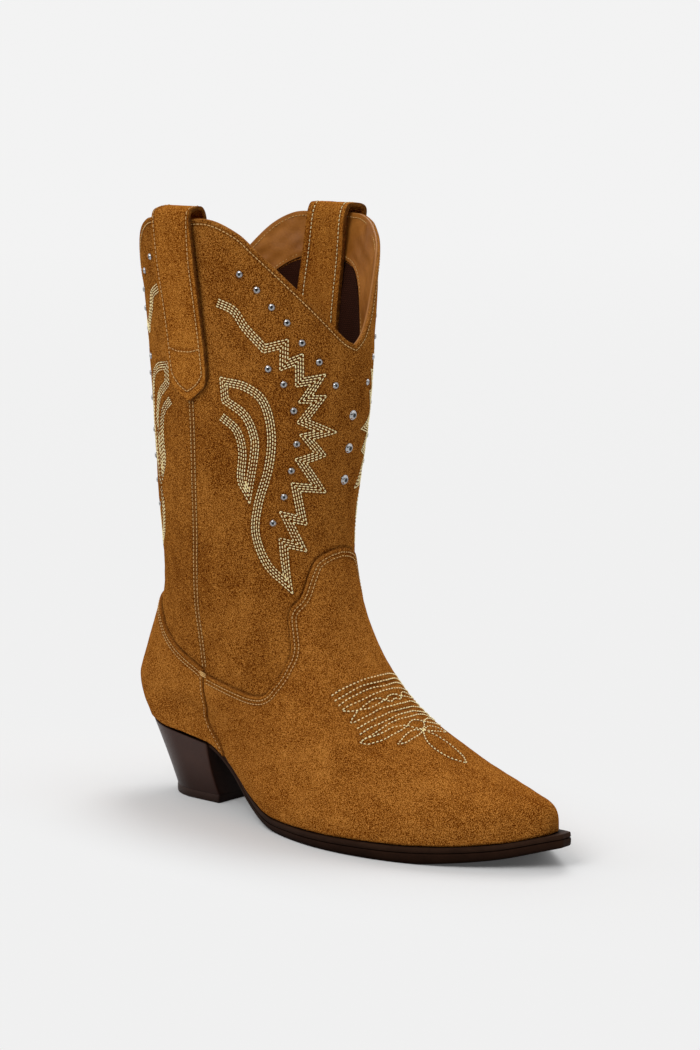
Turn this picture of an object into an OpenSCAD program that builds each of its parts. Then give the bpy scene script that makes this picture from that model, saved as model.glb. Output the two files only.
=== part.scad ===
// Pull-on western boot for the right foot: a scalloped shaft with pull straps,
// a vamp with a snipped pointed toe, an outside counter, a leather sole with a
// welt, and an underslung block heel.
// +X points to the toe, +Y to the inner side of the foot and +Z up. All sizes are mm.
//
// Every leather piece follows one surface, the skin. A place on it is given by
// u, once around the boot (0 back, 0.25 outer side, 0.5 front, 0.75 inner side),
// and by v, which climbs from 0 at the sole to 11 above the top edge.
// Pieces lie at set depths from the skin, as the layers of a shoe do.

/* [Foot] */
// Length of the upper at the sole
upper_length = 260; // [248:1:275]
// Width of the upper at the ball
ball_width = 85; // [80:1:92]
// Height of the insole at the back of the heel
seat_height = 42; // [39:1:45]

/* [Shaft] */
// Height of the top edge under the pull straps
side_height = 304; // [294:1:305]
// Height of the front scallop's lowest point
front_dip = 243; // [230:1:262]
// Height of the back scallop's lowest point
back_dip = 248; // [232:1:265]

/* [Leather] */
// Thickness of the outer leather
leather = 1.4; // [1.2:0.1:1.4]
// Thickness of the lining
lining = 0.9; // [0.7:0.1:1.0]
// Width of a pull strap
strap_width = 27; // [22:1:30]
// Thickness of a pull strap
strap_thickness = 1.6; // [1.2:0.1:1.8]

/* [Sole] */
// Thickness of the welt at the forepart
welt_thickness = 2.6; // [2.0:0.1:2.8]
// How far the sole stands out beside the ball
sole_overhang = 3.2; // [2.5:0.1:4.0]
// How far the sole stands out at the toe
toe_overhang = 9.5; // [8.0:0.5:11.0]

/* [Heel] */
// Length of the heel where it meets the ground
heel_length = 42; // [38:1:46]
// Width of the heel where it meets the ground
heel_width = 38; // [34:1:44]
// Thickness of the replaceable top lift
lift_thickness = 4.5; // [4:0.5:6]

/* [Studs] */
// Diameter of a small stud
small_stud = 3.2; // [2.6:0.1:4.0]
// Diameter of a large stud
large_stud = 5.0; // [4.2:0.1:6.0]

/* [Hidden] */

suede = [0.60, 0.34, 0.12];
facing_tan = [0.66, 0.40, 0.17];
lining_brown = [0.22, 0.13, 0.10];
board_tan = [0.72, 0.60, 0.42];
sole_brown = [0.20, 0.12, 0.09];
heel_brown = [0.26, 0.15, 0.11];
steel = [0.75, 0.75, 0.76];

// ---- layers, as depths from the skin ----
clear = 0.1;             // gap between glued layers
over_low = clear;        // vamp and counter lie over the shaft panels
over_high = clear + leather;
puff_low = -leather + 0.05;
puff_high = -0.05;
line_high = -leather - clear;
line_low = line_high - lining;
lap = 0.4;               // how far shaft panels run under the vamp, in v

// ---- general functions ----
function mix(a, b, t) = a + (b - a) * t;
function clamp(x, lo, hi) = min(max(x, lo), hi);
function unit(p) = p / max(norm(p), 1e-9);
function fold(u) = let (w = u - floor(u)) min(w, 1 - w);
function span_of(p, s, i = 0) = i >= len(p) - 2 || s < p[i + 1][0] ? i : span_of(p, s, i + 1);
function slope_at(p, i) =
    let (a = max(i - 1, 0), b = min(i + 1, len(p) - 1)) (p[b] - p[a]) / (p[b][0] - p[a][0]);
// Smooth curve through points whose first number is the parameter
function curve(p, s) =
    let (c = clamp(s, p[0][0], p[len(p) - 1][0]),
         i = span_of(p, c),
         h = p[i + 1][0] - p[i][0],
         t = (c - p[i][0]) / h)
    (2 * t^3 - 3 * t^2 + 1) * p[i] + (t^3 - 2 * t^2 + t) * h * slope_at(p, i)
    + (3 * t^2 - 2 * t^3) * p[i + 1] + (t^3 - t^2) * h * slope_at(p, i + 1);

// ---- foot plan ----
heel_x = -129;
toe_x = 131.2;
ball_half = 42.5;
kx = upper_length / 260;
ky = ball_width / 85;
// x and half width of the sole line, heel to toe, at equal steps of u
PLAN = [[heel_x, 0], [-127, 9.5], [-121, 16.5], [-112, 21], [-102, 23.2], [-93, 24],
        [-85, 24.2], [-77.5, 24.2], [-70, 24.2], [-44, 27], [-12, 35.5], [22, 42],
        [56, ball_half], [86, 35.5], [111, 22], [128.5, 7], [toe_x, 0]];
PLAN_CURVE = concat([[-1 / 32, PLAN[1][0], -PLAN[1][1]]],
                    [for (i = [0:16]) [i / 32, PLAN[i][0], PLAN[i][1]]],
                    [[17 / 32, PLAN[15][0], -PLAN[15][1]]]);
function plan(u) = let (c = curve(PLAN_CURVE, u)) [c[1], c[2]];
// Plan point moved outwards by d
function rim(u, d) =
    let (a = plan(u), e = 0.004, t = unit(plan(min(u + e, 0.5)) - plan(max(u - e, 0))),
         n = u <= e ? [-1, 0] : u >= 0.5 - e ? [1, 0] : [-t[1], t[0]])
    a + n * d;
// Sideways bend of the foot towards its outer side
SWING = [[-150, 0], [-70, 0], [-40, -2.5], [-10, -6], [25, -6.5], [60, -4],
         [100, -1], [133, 0], [150, 0]];
function swing(x) = curve(SWING, x)[1];

// ---- sole line and ground line, as heights along x ----
seat_slope = 0.115;
function seat_line(x) = seat_height - seat_slope * (x + 133);
seat_depth = 4.9;        // flange, welt and sole over the heel
SOLE_LINE = concat([for (x = [-150, -133, -105, -82]) [x, seat_line(x)]],
                   [[-70, 33.6], [-55, 26.3], [-38, 14.8], [-18, 8.8], [5, 8.2], [45, 9],
                    [85, 10.2], [115, 13.2], [135, 17.9], [150, 21.5]]);
GROUND_LINE = concat([for (x = [-150, -133, -105, -82]) [x, seat_line(x) - seat_depth]],
                     [[-70, 28.6], [-55, 20.5], [-38, 8.4], [-18, 1.6], [0, 0], [40, 0],
                      [75, 0], [85, 0.4], [115, 4.2], [135, 9.3], [150, 13.5]]);
function sole_z(x) = curve(SOLE_LINE, x)[1];
function ground_z(x) = max(0, curve(GROUND_LINE, x)[1]);

// ---- the skin ----
// Rings: x back, x front, half width, z back, z front, roundness, share of swing,
// and whether the heights are counted from the sole line
RINGS = [[heel_x, toe_x, 42.2, 0, 0, 0, 1, true],
         [-133.7, toe_x, 43.2, 8, 8, 0.02, 1, true],
         [-137.5, 125.7, 41.7, 20, 13.4, 0.15, 0.8, true],
         [-136.7, 95.5, 39.7, 66, 34, 0.6, 0.5, false],
         [-129, 51, 36.5, 88, 51, 0.92, 0.2, false],
         [-119, 18.5, 36, 108, 76.5, 1, 0, false],
         [-117, -4.2, 37.5, 130, 116, 1, 0, false],
         [-117.5, -4.5, 43, 160, 160, 1, 0, false],
         [-118.5, 5, 48, 200, 200, 1, 0, false],
         [-120, 8, 50.5, 240, 240, 1, 0, false],
         [-122.3, 6, 55, 280, 280, 1, 0, false],
         [-126.5, 2, 61, 320, 320, 1, 0, false]];
last_ring = len(RINGS) - 1;
columns = 96;
function ring_point(r, u) =
    let (h = fold(u),
         side = u <= 0.5 ? -1 : 1,
         p = plan(h),
         t = mix((p[0] - heel_x) / (toe_x - heel_x), (1 - cos(360 * h)) / 2, r[5]),
         w = mix(p[1] / ball_half, sin(360 * h), r[5]),
         x = mix(r[0], r[1], t))
    [x * kx,
     (side * r[2] * w + r[6] * swing(x)) * ky,
     (r[7] ? sole_z(mix(heel_x, toe_x, t)) : 0) + mix(r[3], r[4], t)];
RING_POINTS = [for (r = RINGS) [for (i = [0:columns - 1]) ring_point(r, i / columns)]];
ROWS = concat([2 * RING_POINTS[0] - RING_POINTS[1]], RING_POINTS,
              [2 * RING_POINTS[last_ring] - RING_POINTS[last_ring - 1]]);
function wall(u, v) =
    let (c = (u - floor(u)) * columns,
         i = floor(c) % columns,
         k = (i + 1) % columns,
         j = floor(clamp(v, 0, last_ring - 0.001)),
         t = clamp(v, 0, last_ring) - j,
         b = [(1 - t)^3, 3 * t^3 - 6 * t^2 + 4, 3 * t + 3 * t^2 - 3 * t^3 + 1, t^3] / 6,
         near = b[0] * ROWS[j][i] + b[1] * ROWS[j + 1][i] + b[2] * ROWS[j + 2][i] + b[3] * ROWS[j + 3][i],
         far = b[0] * ROWS[j][k] + b[1] * ROWS[j + 1][k] + b[2] * ROWS[j + 2][k] + b[3] * ROWS[j + 3][k])
    mix(near, far, c - floor(c));
// Inner edge of the margin that is turned under the insole
flange_x = 0.93;
flange_y = 0.72;
function turned(u) =
    let (p = plan(fold(u)),
         x = p[0] * flange_x,
         side = u - floor(u) <= 0.5 ? -1 : 1)
    [x * kx, (side * p[1] * flange_y + swing(x)) * ky, sole_z(x)];
function skin(u, v) = v >= 0 ? wall(u, v) : mix(wall(u, 0), turned(u), -v);
function skin_normal(u, v) =
    let (du = 1 / columns, dv = 0.03)
    unit(cross(skin(u + du, v) - skin(u - du, v), skin(u, v + dv) - skin(u, v - dv)));
function v_at(z) = 8 + (z - 200) / 40;      // true on the shaft, above 200 mm

// ---- edges of the pieces on the skin, v for each u from back to front ----
SEAM = [[0, 0.264], [0.7, 0.263], [1.4, 0.252], [2.3, 0.229], [3.2, 0.21], [4, 0.207],
        [4.8, 0.207], [5.4, 0.211], [6.2, 0.228], [6.6, 0.236], [7.1, 0.2405], [8, 0.2425],
        [9, 0.2405], [11, 0.24]];
COUNTER_EDGE = [[0, 4.95], [0.05, 4.85], [0.105, 4.6], [0.131, 4.34], [0.161, 4.13],
                [0.192, 4], [0.21, 3.92], [0.3, 3.8]];
VAMP_EDGE = [[0.19, 3.83], [0.21, 3.83], [0.254, 3.82], [0.272, 3.85], [0.288, 4],
             [0.307, 4.38], [0.336, 4.87], [0.359, 5.24], [0.374, 5.71], [0.406, 5.99],
             [0.425, 6.24], [0.44, 6.41], [0.468, 6.51], [0.5, 6.55]];
// Share of the climb from scallop to side
BACK_SCALLOP = [[0, 0], [0.05, 0.22], [0.1, 0.54], [0.126, 0.72], [0.16, 0.92],
                [0.19, 1.01], [0.215, 1.03], [0.25, 1]];
FRONT_SCALLOP = [[0.25, 1], [0.3, 1.02], [0.337, 0.91], [0.36, 0.76], [0.408, 0.45],
                 [0.457, 0.16], [0.48, 0.05], [0.5, 0]];
FACING_EDGE = [[0, 8.5], [0.05, 8.6], [0.1, 9], [0.14, 9.6], [0.175, 9.9], [0.21, 10.05],
               [0.25, 10.07], [0.29, 10], [0.31, 9.85], [0.325, 9.5], [0.34, 8.9],
               [0.37, 8.4], [0.42, 8.15], [0.5, 8.1]];
PUFF_EDGE = [[0.4, 0.1], [0.412, 1.4], [0.44, 2.5], [0.47, 3], [0.5, 3.2]];
seam = function(v) curve(SEAM, v)[1];
counter_edge = function(u) curve(COUNTER_EDGE, fold(u))[1];
vamp_edge = function(u) curve(VAMP_EDGE, fold(u))[1];
facing_edge = function(u) curve(FACING_EDGE, fold(u))[1];
puff_edge = function(u) fold(u) < 0.4 ? 0 : curve(PUFF_EDGE, fold(u))[1];
topline = function(u)
    let (f = fold(u),
         dip = f < 0.25 ? back_dip : front_dip,
         rise = curve(f < 0.25 ? BACK_SCALLOP : FRONT_SCALLOP, f)[1])
    v_at(mix(dip, side_height, rise));
function shifted(edge, d) = function(u) edge(u) + d;

// Grids of places on the skin. The front pieces run from the outer side seam round
// the toe to the inner one, and the back pieces round the heel.
butt = 0.0006;           // half the gap at a side seam, in u
function grid(n, m, left, right, low, high) =
    [for (i = [0:n]) [for (j = [0:m])
        let (h = mix(low(left(3)), high(left(3)), j / m),
             u = mix(left(h), right(h), i / n))
        [u, mix(low(u), high(u), j / m)]]];
front_left = function(v) seam(v) + butt;
front_right = function(v) 1 - seam(v) - butt;
back_left = function(v) butt - seam(v);
back_right = function(v) seam(v) - butt;

centre_x = (kx * toe_x + toe_overhang + min([for (v = [0:0.1:5]) skin(0, v)[0]]) - over_high) / 2;
module in_frame() translate([-centre_x, 0, 0]) children();

// ---- solids ----
// Two triangles for four corners in turn
function quad(a, b, c, d) = [[a, b, c], [a, c, d]];
// Closed solid between two grids of points of the same size
module shell(low, high) {
    n = len(low) - 1;
    m = len(low[0]) - 1;
    half = (n + 1) * (m + 1);
    points = concat([for (c = low) for (p = c) p], [for (c = high) for (p = c) p]);
    faces = concat(
        [for (i = [0:n - 1]) for (j = [0:m - 1])
            let (a = i * (m + 1) + j, b = a + m + 1)
            each concat(quad(a, b, b + 1, a + 1),
                        quad(a + half, a + 1 + half, b + 1 + half, b + half))],
        [for (i = [0:n - 1])
            let (a = i * (m + 1), b = a + m + 1)
            each concat(quad(a, a + half, b + half, b),
                        quad(a + m, b + m, b + m + half, a + m + half))],
        [for (j = [0:m - 1])
            let (a = j, b = n * (m + 1) + j)
            each concat(quad(a, a + 1, a + 1 + half, a + half),
                        quad(b, b + half, b + 1 + half, b + 1))]);
    polyhedron(points, faces);
}
// A piece of sheet on the skin, between two depths
module sheet(places, low, high) {
    normals = [for (c = places) [for (p = c) skin_normal(p[0], p[1])]];
    base = [for (c = places) [for (p = c) skin(p[0], p[1])]];
    shell(base + low * normals, base + high * normals);
}
// Closed solid through a list of sections, as a tube with flat ends or as a ring
module loft(sections, ring = false) {
    n = len(sections);
    m = len(sections[0]);
    last = ring ? n - 1 : n - 2;
    sides = [for (i = [0:last]) for (j = [0:m - 1])
        let (a = i * m, b = ((i + 1) % n) * m, k = (j + 1) % m)
        each quad(a + j, b + j, b + k, a + k)];
    ends = ring ? [] : [[for (j = [0:m - 1]) j], [for (j = [m - 1:-1:0]) (n - 1) * m + j]];
    polyhedron([for (s = sections) for (p = s) p], concat(sides, ends));
}
// A flat layer of the bottom: left and right rims at each station from heel to toe
tip_u = 0.012;           // how close a layer's blunt ends come to the centre line
module slab(from, to, steps, edge, top, bottom) {
    loft([for (i = [0:steps])
        let (p = edge(mix(from, to, i / steps)),
             y = swing(p[0]) * ky,
             w = p[1] * ky,
             x = p[0] * kx)
        [[x, y - w, top(p[0])], [x, y - w, bottom(p[0])],
         [x, y + w, bottom(p[0])], [x, y + w, top(p[0])]]]);
}
// A stud's dome, standing on the skin
stud_lift = 0.02;
module stud(u, v, d) {
    n = skin_normal(u, v);
    translate(skin(u, v) + n * stud_lift)
        rotate([0, acos(n[2]), atan2(n[1], n[0])])
            rotate_extrude($fn = 16) dome(d);
}
module dome(d) {
    polygon([[0, 0], [d / 2, 0], [d / 2, d * 0.08], [d * 0.3, d * 0.27], [0, d * 0.33]]);
}

// ---- upper ----
module front_shaft_panel() color(suede) in_frame()
    sheet(grid(36, 14, front_left, front_right, shifted(vamp_edge, -lap), topline), -leather, 0);
module back_shaft_panel() color(suede) in_frame()
    sheet(grid(32, 14, back_left, back_right, shifted(counter_edge, -lap), topline), -leather, 0);

// The foot pieces end in two rows that turn under the insole
function with_flange(places) = [for (c = places) concat([[c[0][0], -1], [c[0][0], -0.45]], c)];
sole_edge = function(u) 0;
module vamp() color(suede) in_frame()
    sheet(with_flange(grid(40, 13, front_left, front_right, sole_edge, vamp_edge)), over_low, over_high);
module heel_counter() color(suede) in_frame()
    sheet(with_flange(grid(28, 10, back_left, back_right, sole_edge, counter_edge)), over_low, over_high);

// ---- pull straps ----
strap_u = 0.2415;
strap_turn = 396;        // length of skin for one unit of u at the straps
// Distance from the skin and height of the strap's middle, from the outer tip
// over the top edge to the inner end
STRAP = [[0, 1, 215], [1, 1, 219], [2, 1, 226], [3, 1, 250], [4, 1, 272], [5, 1.6, 286],
         [6, 3.2, 297], [7, 4.7, 304.5], [7.7, 4.4, 309.4], [8.4, 1.7, 311.6], [9.2, -2.4, 311.9],
         [10, -5.9, 310.4], [10.8, -7.4, 305.5], [11.6, -7.3, 298], [12.6, -5.6, 287],
         [13.6, -3.9, 275], [14.6, -3.6, 260], [15.6, -3.6, 236]];
// Half width along the strap: pointed outside, square inside
STRAP_HALF = [[0, 0.1], [1, 0.55], [2, 0.98], [3, 1], [16, 1]];
module pull_strap(side) {
    steps = 44;
    across = 4;
    middle = [for (i = [0:across]) [for (j = [0:steps])
        let (t = j / steps * 15.6,
             s = curve(STRAP, t),
             half = strap_width / 2 / strap_turn * curve(STRAP_HALF, t)[1],
             u = strap_u + mix(-half, half, i / across),
             v = v_at(s[2]),
             p = skin(u, v) + skin_normal(u, v) * s[1])
        [p[0], p[1] * side, p[2]]]];
    flip = side > 0 ? 1 : -1;
    normals = [for (i = [0:across]) [for (j = [0:steps])
        let (a = middle[min(i + 1, across)][j] - middle[max(i - 1, 0)][j],
             b = middle[i][min(j + 1, steps)] - middle[i][max(j - 1, 0)])
        flip * unit(cross(a, b))]];
    low = middle - strap_thickness / 2 * normals;
    high = middle + strap_thickness / 2 * normals;
    if (side > 0) shell(low, high);
    else shell(high, low);
}
module outer_pull_strap() color(suede) in_frame() pull_strap(1);
module inner_pull_strap() color(suede) in_frame() pull_strap(-1);

// ---- studs, [u, v] on the outer half, repeated on the inner half ----
FRONT_STUDS = [[0.332, 9.97], [0.352, 9.78], [0.369, 9.57], [0.388, 9.38], [0.407, 9.13],
               [0.432, 8.89], [0.46, 8.59], [0.359, 8.81], [0.38, 8.62], [0.395, 8.29],
               [0.402, 7.87], [0.397, 7.53], [0.388, 7.2], [0.371, 6.87]];
BACK_STUDS = [[0.182, 10.14], [0.151, 9.95], [0.127, 9.7], [0.108, 9.45], [0.088, 9.18],
              [0.066, 8.92], [0.04, 8.62], [0.13, 8.85], [0.11, 8.62], [0.1, 8.29],
              [0.096, 7.87], [0.1, 7.53], [0.108, 7.2], [0.122, 6.87]];
CENTRE_STUDS = [8.2, 7.78, 7.38];
module small_studs() color(steel) in_frame()
    for (s = concat(FRONT_STUDS, BACK_STUDS)) {
        stud(s[0], s[1], small_stud);
        stud(1 - s[0], s[1], small_stud);
    }
module large_studs() color(steel) in_frame()
    for (v = CENTRE_STUDS) {
        stud(0.5, v, large_stud);
        stud(0, v, large_stud);
    }

// ---- linings ----
gap = 0.03;              // gap between two lining pieces, in v
rim_gap = 0.02;
module front_top_facing() color(facing_tan) in_frame()
    sheet(grid(36, 4, front_left, front_right, facing_edge, shifted(topline, -rim_gap)), line_low, line_high);
module back_top_facing() color(facing_tan) in_frame()
    sheet(grid(32, 4, back_left, back_right, facing_edge, shifted(topline, -rim_gap)), line_low, line_high);
module front_shaft_lining() color(lining_brown) in_frame()
    sheet(grid(30, 8, front_left, front_right, vamp_edge, shifted(facing_edge, -gap)), line_low, line_high);
module back_shaft_lining() color(lining_brown) in_frame()
    sheet(grid(24, 8, back_left, back_right, counter_edge, shifted(facing_edge, -gap)), line_low, line_high);
module vamp_lining() color(lining_brown) in_frame()
    sheet(grid(32, 10, front_left, front_right, sole_edge, shifted(vamp_edge, -gap)), line_low, line_high);
module heel_lining() color(facing_tan) in_frame()
    sheet(grid(24, 8, back_left, back_right, sole_edge, shifted(counter_edge, -gap)), line_low, line_high);

// ---- stiffeners between the outer leather and the lining ----
inset = 0.006;
module toe_puff() color(board_tan) in_frame()
    sheet(grid(14, 6, function(v) 0.402, function(v) 0.598, sole_edge, puff_edge), puff_low, puff_high);
module heel_stiffener() color(board_tan) in_frame()
    sheet(grid(22, 6, function(v) -0.2, function(v) 0.2, sole_edge, shifted(counter_edge, -lap - 0.08)),
          puff_low, puff_high);
module vamp_interlining() color(lining_brown) in_frame()
    sheet(grid(32, 7, function(v) seam(v) + inset, function(v) 1 - seam(v) - inset,
               shifted(puff_edge, 0.06), shifted(vamp_edge, -lap - 0.08)),
          puff_low, puff_high);

// ---- bottom ----
board_inset = 3;
board_thickness = 2.5;
sock_thickness = 1;
turned_depth = over_high + clear;       // underside of the turned margin
welt_low = function(x) turned_depth + curve([[-150, 1], [-80, 1], [-50, 1.4], [-20, welt_thickness],
                                             [150, welt_thickness]], x)[1];
// Overhang of welt and sole along u
OVERHANG = [[0, 0.3], [0.2, 0.3], [0.27, 0.9], [0.34, sole_overhang - 0.6], [0.42, sole_overhang],
            [0.465, sole_overhang + 1], [0.5, toe_overhang]];
overhang = function(u) curve(OVERHANG, u)[1];

module insole_board() color(board_tan) in_frame() difference() {
    slab(tip_u, 0.5 - tip_u, 36, function(u) rim(u, -board_inset),
         function(x) sole_z(x) + clear + board_thickness, function(x) sole_z(x) + clear);
    heel_fasteners(0.1);
}
sock_low = clear * 2 + board_thickness;
module sock_liner() color(facing_tan) in_frame()
    slab(tip_u, 0.5 - tip_u, 36, function(u) rim(u, -board_inset - 0.2),
         function(x) sole_z(x) + sock_low + sock_thickness, function(x) sole_z(x) + sock_low);

shank_width = 14;
shank_thickness = 1.1;
module shank() color(steel) in_frame()
    loft([for (x = [-98:6:22])
        let (z = sole_z(x) - 0.35, y = swing(x) * ky, w = shank_width / 2)
        [[x, y - w, z], [x, y - w, z - shank_thickness], [x, y + w, z - shank_thickness], [x, y + w, z]]]);

// Cork fills the hollow inside the welt, and the turned margin's opening at the forepart
fill_x = 0.915;
fill_y = 0.69;
module cork_filler() color(board_tan) in_frame()
    slab(0.3, 0.47, 20, function(u) let (p = plan(u)) [p[0] * fill_x, p[1] * fill_y],
         function(x) sole_z(x) - (x > 26 ? 0.2 : turned_depth), function(x) sole_z(x) - welt_low(x) + clear);

module welt() color(sole_brown) in_frame()
    loft([for (i = [0:71])
        let (u = (i + 0.5) / 72,
             side = u < 0.5 ? -1 : 1,
             p = rim(fold(u), overhang(fold(u)) - 0.3),
             o = [p[0] * kx, (swing(p[0]) + side * p[1]) * ky],
             q = turned(u),
             top = turned_depth,
             zo = sole_z(p[0]),
             zq = q[2])
        [[o[0], o[1], zo - top], [q[0], q[1], zq - top],
         [q[0], q[1], zq - welt_low(q[0] / kx)], [o[0], o[1], zo - welt_low(p[0])]]], ring = true);
module outsole() color(sole_brown) in_frame() difference() {
    slab(tip_u, 0.5 - tip_u, 44, function(u) rim(u, overhang(u)),
         function(x) sole_z(x) - welt_low(x) - clear, function(x) ground_z(x));
    heel_fasteners(0.1);
}

// ---- heel ----
heel_back = -113;        // back of the heel on the ground
breast_x = heel_back + heel_length;
heel_top_back = -128;
heel_top_breast = -75;
heel_top_half = 23.3;
block_low = lift_thickness + clear;
// D-shaped outline: straight breast, straight sides and a round back
function heel_outline(back, breast, half) =
    let (round_length = (breast - back) * 0.55)
    concat([[breast, -half]],
           [for (a = [-90:12:90]) [back + round_length * (1 - cos(a)), half * sin(a)]],
           [[breast, half]]);
block_steps = 5;
module heel_block() color(heel_brown) in_frame() difference() {
    loft([for (i = [0:block_steps])
        let (t = i / block_steps,
             bow = 1.2 * t * (1 - t) * 4)
        [for (p = heel_outline(mix(heel_back, heel_top_back, t) + bow,
                               mix(breast_x, heel_top_breast, t) - bow,
                               mix(heel_width / 2, heel_top_half, t)))
            [p[0], p[1], mix(block_low, seat_line(p[0]) - seat_depth - clear, t)]]]);
    heel_fasteners(0.05);
    lift_pins(0.05);
}
module top_lift() color(sole_brown) in_frame() difference() {
    linear_extrude(lift_thickness) polygon(heel_outline(heel_back, breast_x, heel_width / 2));
    lift_pins(0.05);
}
// One screw in the middle of the seat and four nails round it, from the insole down
NAILS = [[-113, -10], [-113, 10], [-89, -13], [-89, 13]];
screw_x = -101;
nail_length = 24;
module fastener(x, y, r, length, head) {
    z = seat_line(x) + sock_low - 0.6;
    translate([x, y, z - length]) cylinder(r = r, h = length, $fn = 24);
    translate([x, y, z - head]) cylinder(r = 2 * r, h = head, $fn = 24);
}
module heel_fasteners(grow) {
    for (p = NAILS) fastener(p[0], p[1], 1.1 + grow, nail_length + grow, 1.2 + grow);
    fastener(screw_x, 0, 2 + grow, nail_length + 4 + grow, 2 + grow);
}
module heel_nails() color(steel) in_frame()
    for (p = NAILS) fastener(p[0], p[1], 1.1, nail_length, 1.2);
module heel_screw() color(steel) in_frame() fastener(screw_x, 0, 2, nail_length + 4, 2);
pin_length = 9;
pin_floor = 1.5;
module lift_pins(grow = 0)
    for (y = [-9, 0, 9])
        translate([heel_back + heel_length * (y == 0 ? 0.3 : 0.65), y, pin_floor])
            cylinder(r = 1.45 + grow, h = pin_length, $fn = 24);
module top_lift_pins() color(steel) in_frame() lift_pins();

front_shaft_panel();
back_shaft_panel();
vamp();
heel_counter();
outer_pull_strap();
inner_pull_strap();
small_studs();
large_studs();
front_top_facing();
back_top_facing();
front_shaft_lining();
back_shaft_lining();
vamp_lining();
heel_lining();
toe_puff();
heel_stiffener();
vamp_interlining();
sock_liner();
insole_board();
shank();
cork_filler();
welt();
outsole();
heel_block();
heel_screw();
heel_nails();
top_lift();
top_lift_pins();
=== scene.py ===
"""The looks of a pull-on western boot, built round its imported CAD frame.

Lengths are millimetres until to_frame() turns them into the frame's metres. Every
leather piece follows one surface, the skin, which is also the surface that the CAD
pieces follow. A place on it is (u, v): u runs once round the boot (0 back, 0.25 outer
side, 0.5 front, 0.75 inner side) and v climbs from 0 at the sole to 11 above the top.
"""

import bpy
import numpy as np
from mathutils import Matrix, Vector, kdtree


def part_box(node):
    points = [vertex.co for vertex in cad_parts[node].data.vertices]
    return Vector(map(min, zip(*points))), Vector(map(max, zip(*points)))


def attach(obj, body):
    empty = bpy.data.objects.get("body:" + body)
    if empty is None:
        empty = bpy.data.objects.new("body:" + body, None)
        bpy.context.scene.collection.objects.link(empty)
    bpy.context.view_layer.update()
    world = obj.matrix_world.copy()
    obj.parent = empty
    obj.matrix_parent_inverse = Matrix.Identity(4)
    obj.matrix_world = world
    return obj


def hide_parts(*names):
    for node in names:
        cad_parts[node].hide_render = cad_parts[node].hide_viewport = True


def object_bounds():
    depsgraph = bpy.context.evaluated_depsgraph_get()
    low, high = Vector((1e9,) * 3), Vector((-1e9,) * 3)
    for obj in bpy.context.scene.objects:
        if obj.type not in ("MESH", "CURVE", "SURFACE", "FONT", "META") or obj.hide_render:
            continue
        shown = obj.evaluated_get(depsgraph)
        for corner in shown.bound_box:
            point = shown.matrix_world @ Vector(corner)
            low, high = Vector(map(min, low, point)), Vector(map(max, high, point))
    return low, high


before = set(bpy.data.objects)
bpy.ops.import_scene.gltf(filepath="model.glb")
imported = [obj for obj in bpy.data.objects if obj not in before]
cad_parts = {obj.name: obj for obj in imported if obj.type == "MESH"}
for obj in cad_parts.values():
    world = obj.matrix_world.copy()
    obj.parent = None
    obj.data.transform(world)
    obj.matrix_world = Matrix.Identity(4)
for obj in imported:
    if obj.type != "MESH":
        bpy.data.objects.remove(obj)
cad_low, cad_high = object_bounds()
MM = 0.001
U_LENGTH = 396       # mm of skin for one unit of u, round the shaft
V_LENGTH = 40        # mm of height for one unit of v, on the shaft
HEEL_BACK = -113     # where the heel's back stands on the ground


# ---- general functions ----
def pack(*columns):
    """Places from their coordinates."""
    return np.stack(columns, -1)


def mix(a, b, t):
    return a + (b - a) * t


def unit(p):
    return p / np.maximum(np.linalg.norm(p, axis=-1, keepdims=True), 1e-9)


def dot(a, b):
    return np.sum(a * b, axis=-1, keepdims=True)


def fold(u):
    w = np.asarray(u, float) % 1.0
    return np.minimum(w, 1.0 - w)


def curve(points, s):
    """Smooth curve through rows whose first number is the parameter, at every s."""
    p = np.asarray(points, float)
    s = np.clip(np.asarray(s, float), p[0, 0], p[-1, 0])
    before = np.maximum(np.arange(len(p)) - 1, 0)
    after = np.minimum(np.arange(len(p)) + 1, len(p) - 1)
    slope = (p[after] - p[before]) / (p[after, :1] - p[before, :1])
    i = np.clip(np.searchsorted(p[:, 0], s, side="right") - 1, 0, len(p) - 2)
    h = (p[i + 1, 0] - p[i, 0])[..., None]
    t = (s[..., None] - p[i][..., :1]) / h
    return (
        (2 * t**3 - 3 * t**2 + 1) * p[i]
        + (t**3 - 2 * t**2 + t) * h * slope[i]
        + (3 * t**2 - 2 * t**3) * p[i + 1]
        + (t**3 - t**2) * h * slope[i + 1]
    )


def rule(points):
    """The curve through pairs, as a function of their first number."""
    return lambda s: curve(points, s)[..., 1]


def folded(points):
    """A rule for one side of the boot, used on both."""
    return lambda u: curve(points, fold(u))[..., 1]


def fading(distance, width):
    """1 on a line, and close to 0 at twice the width from it."""
    return np.exp(-(distance / width)**2)


def waves(points, length, seed, count=14):
    """Smooth unevenness from -1 to 1 or so, with features about length mm across."""
    random = np.random.default_rng(seed)
    way = unit(random.normal(size=(count, 3))) * random.uniform(0.7, 1.6, (count, 1))
    phase = random.uniform(0, 2 * np.pi, count)
    return np.sin(points @ way.T * np.pi / length + phase).sum(-1) / np.sqrt(count)


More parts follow.
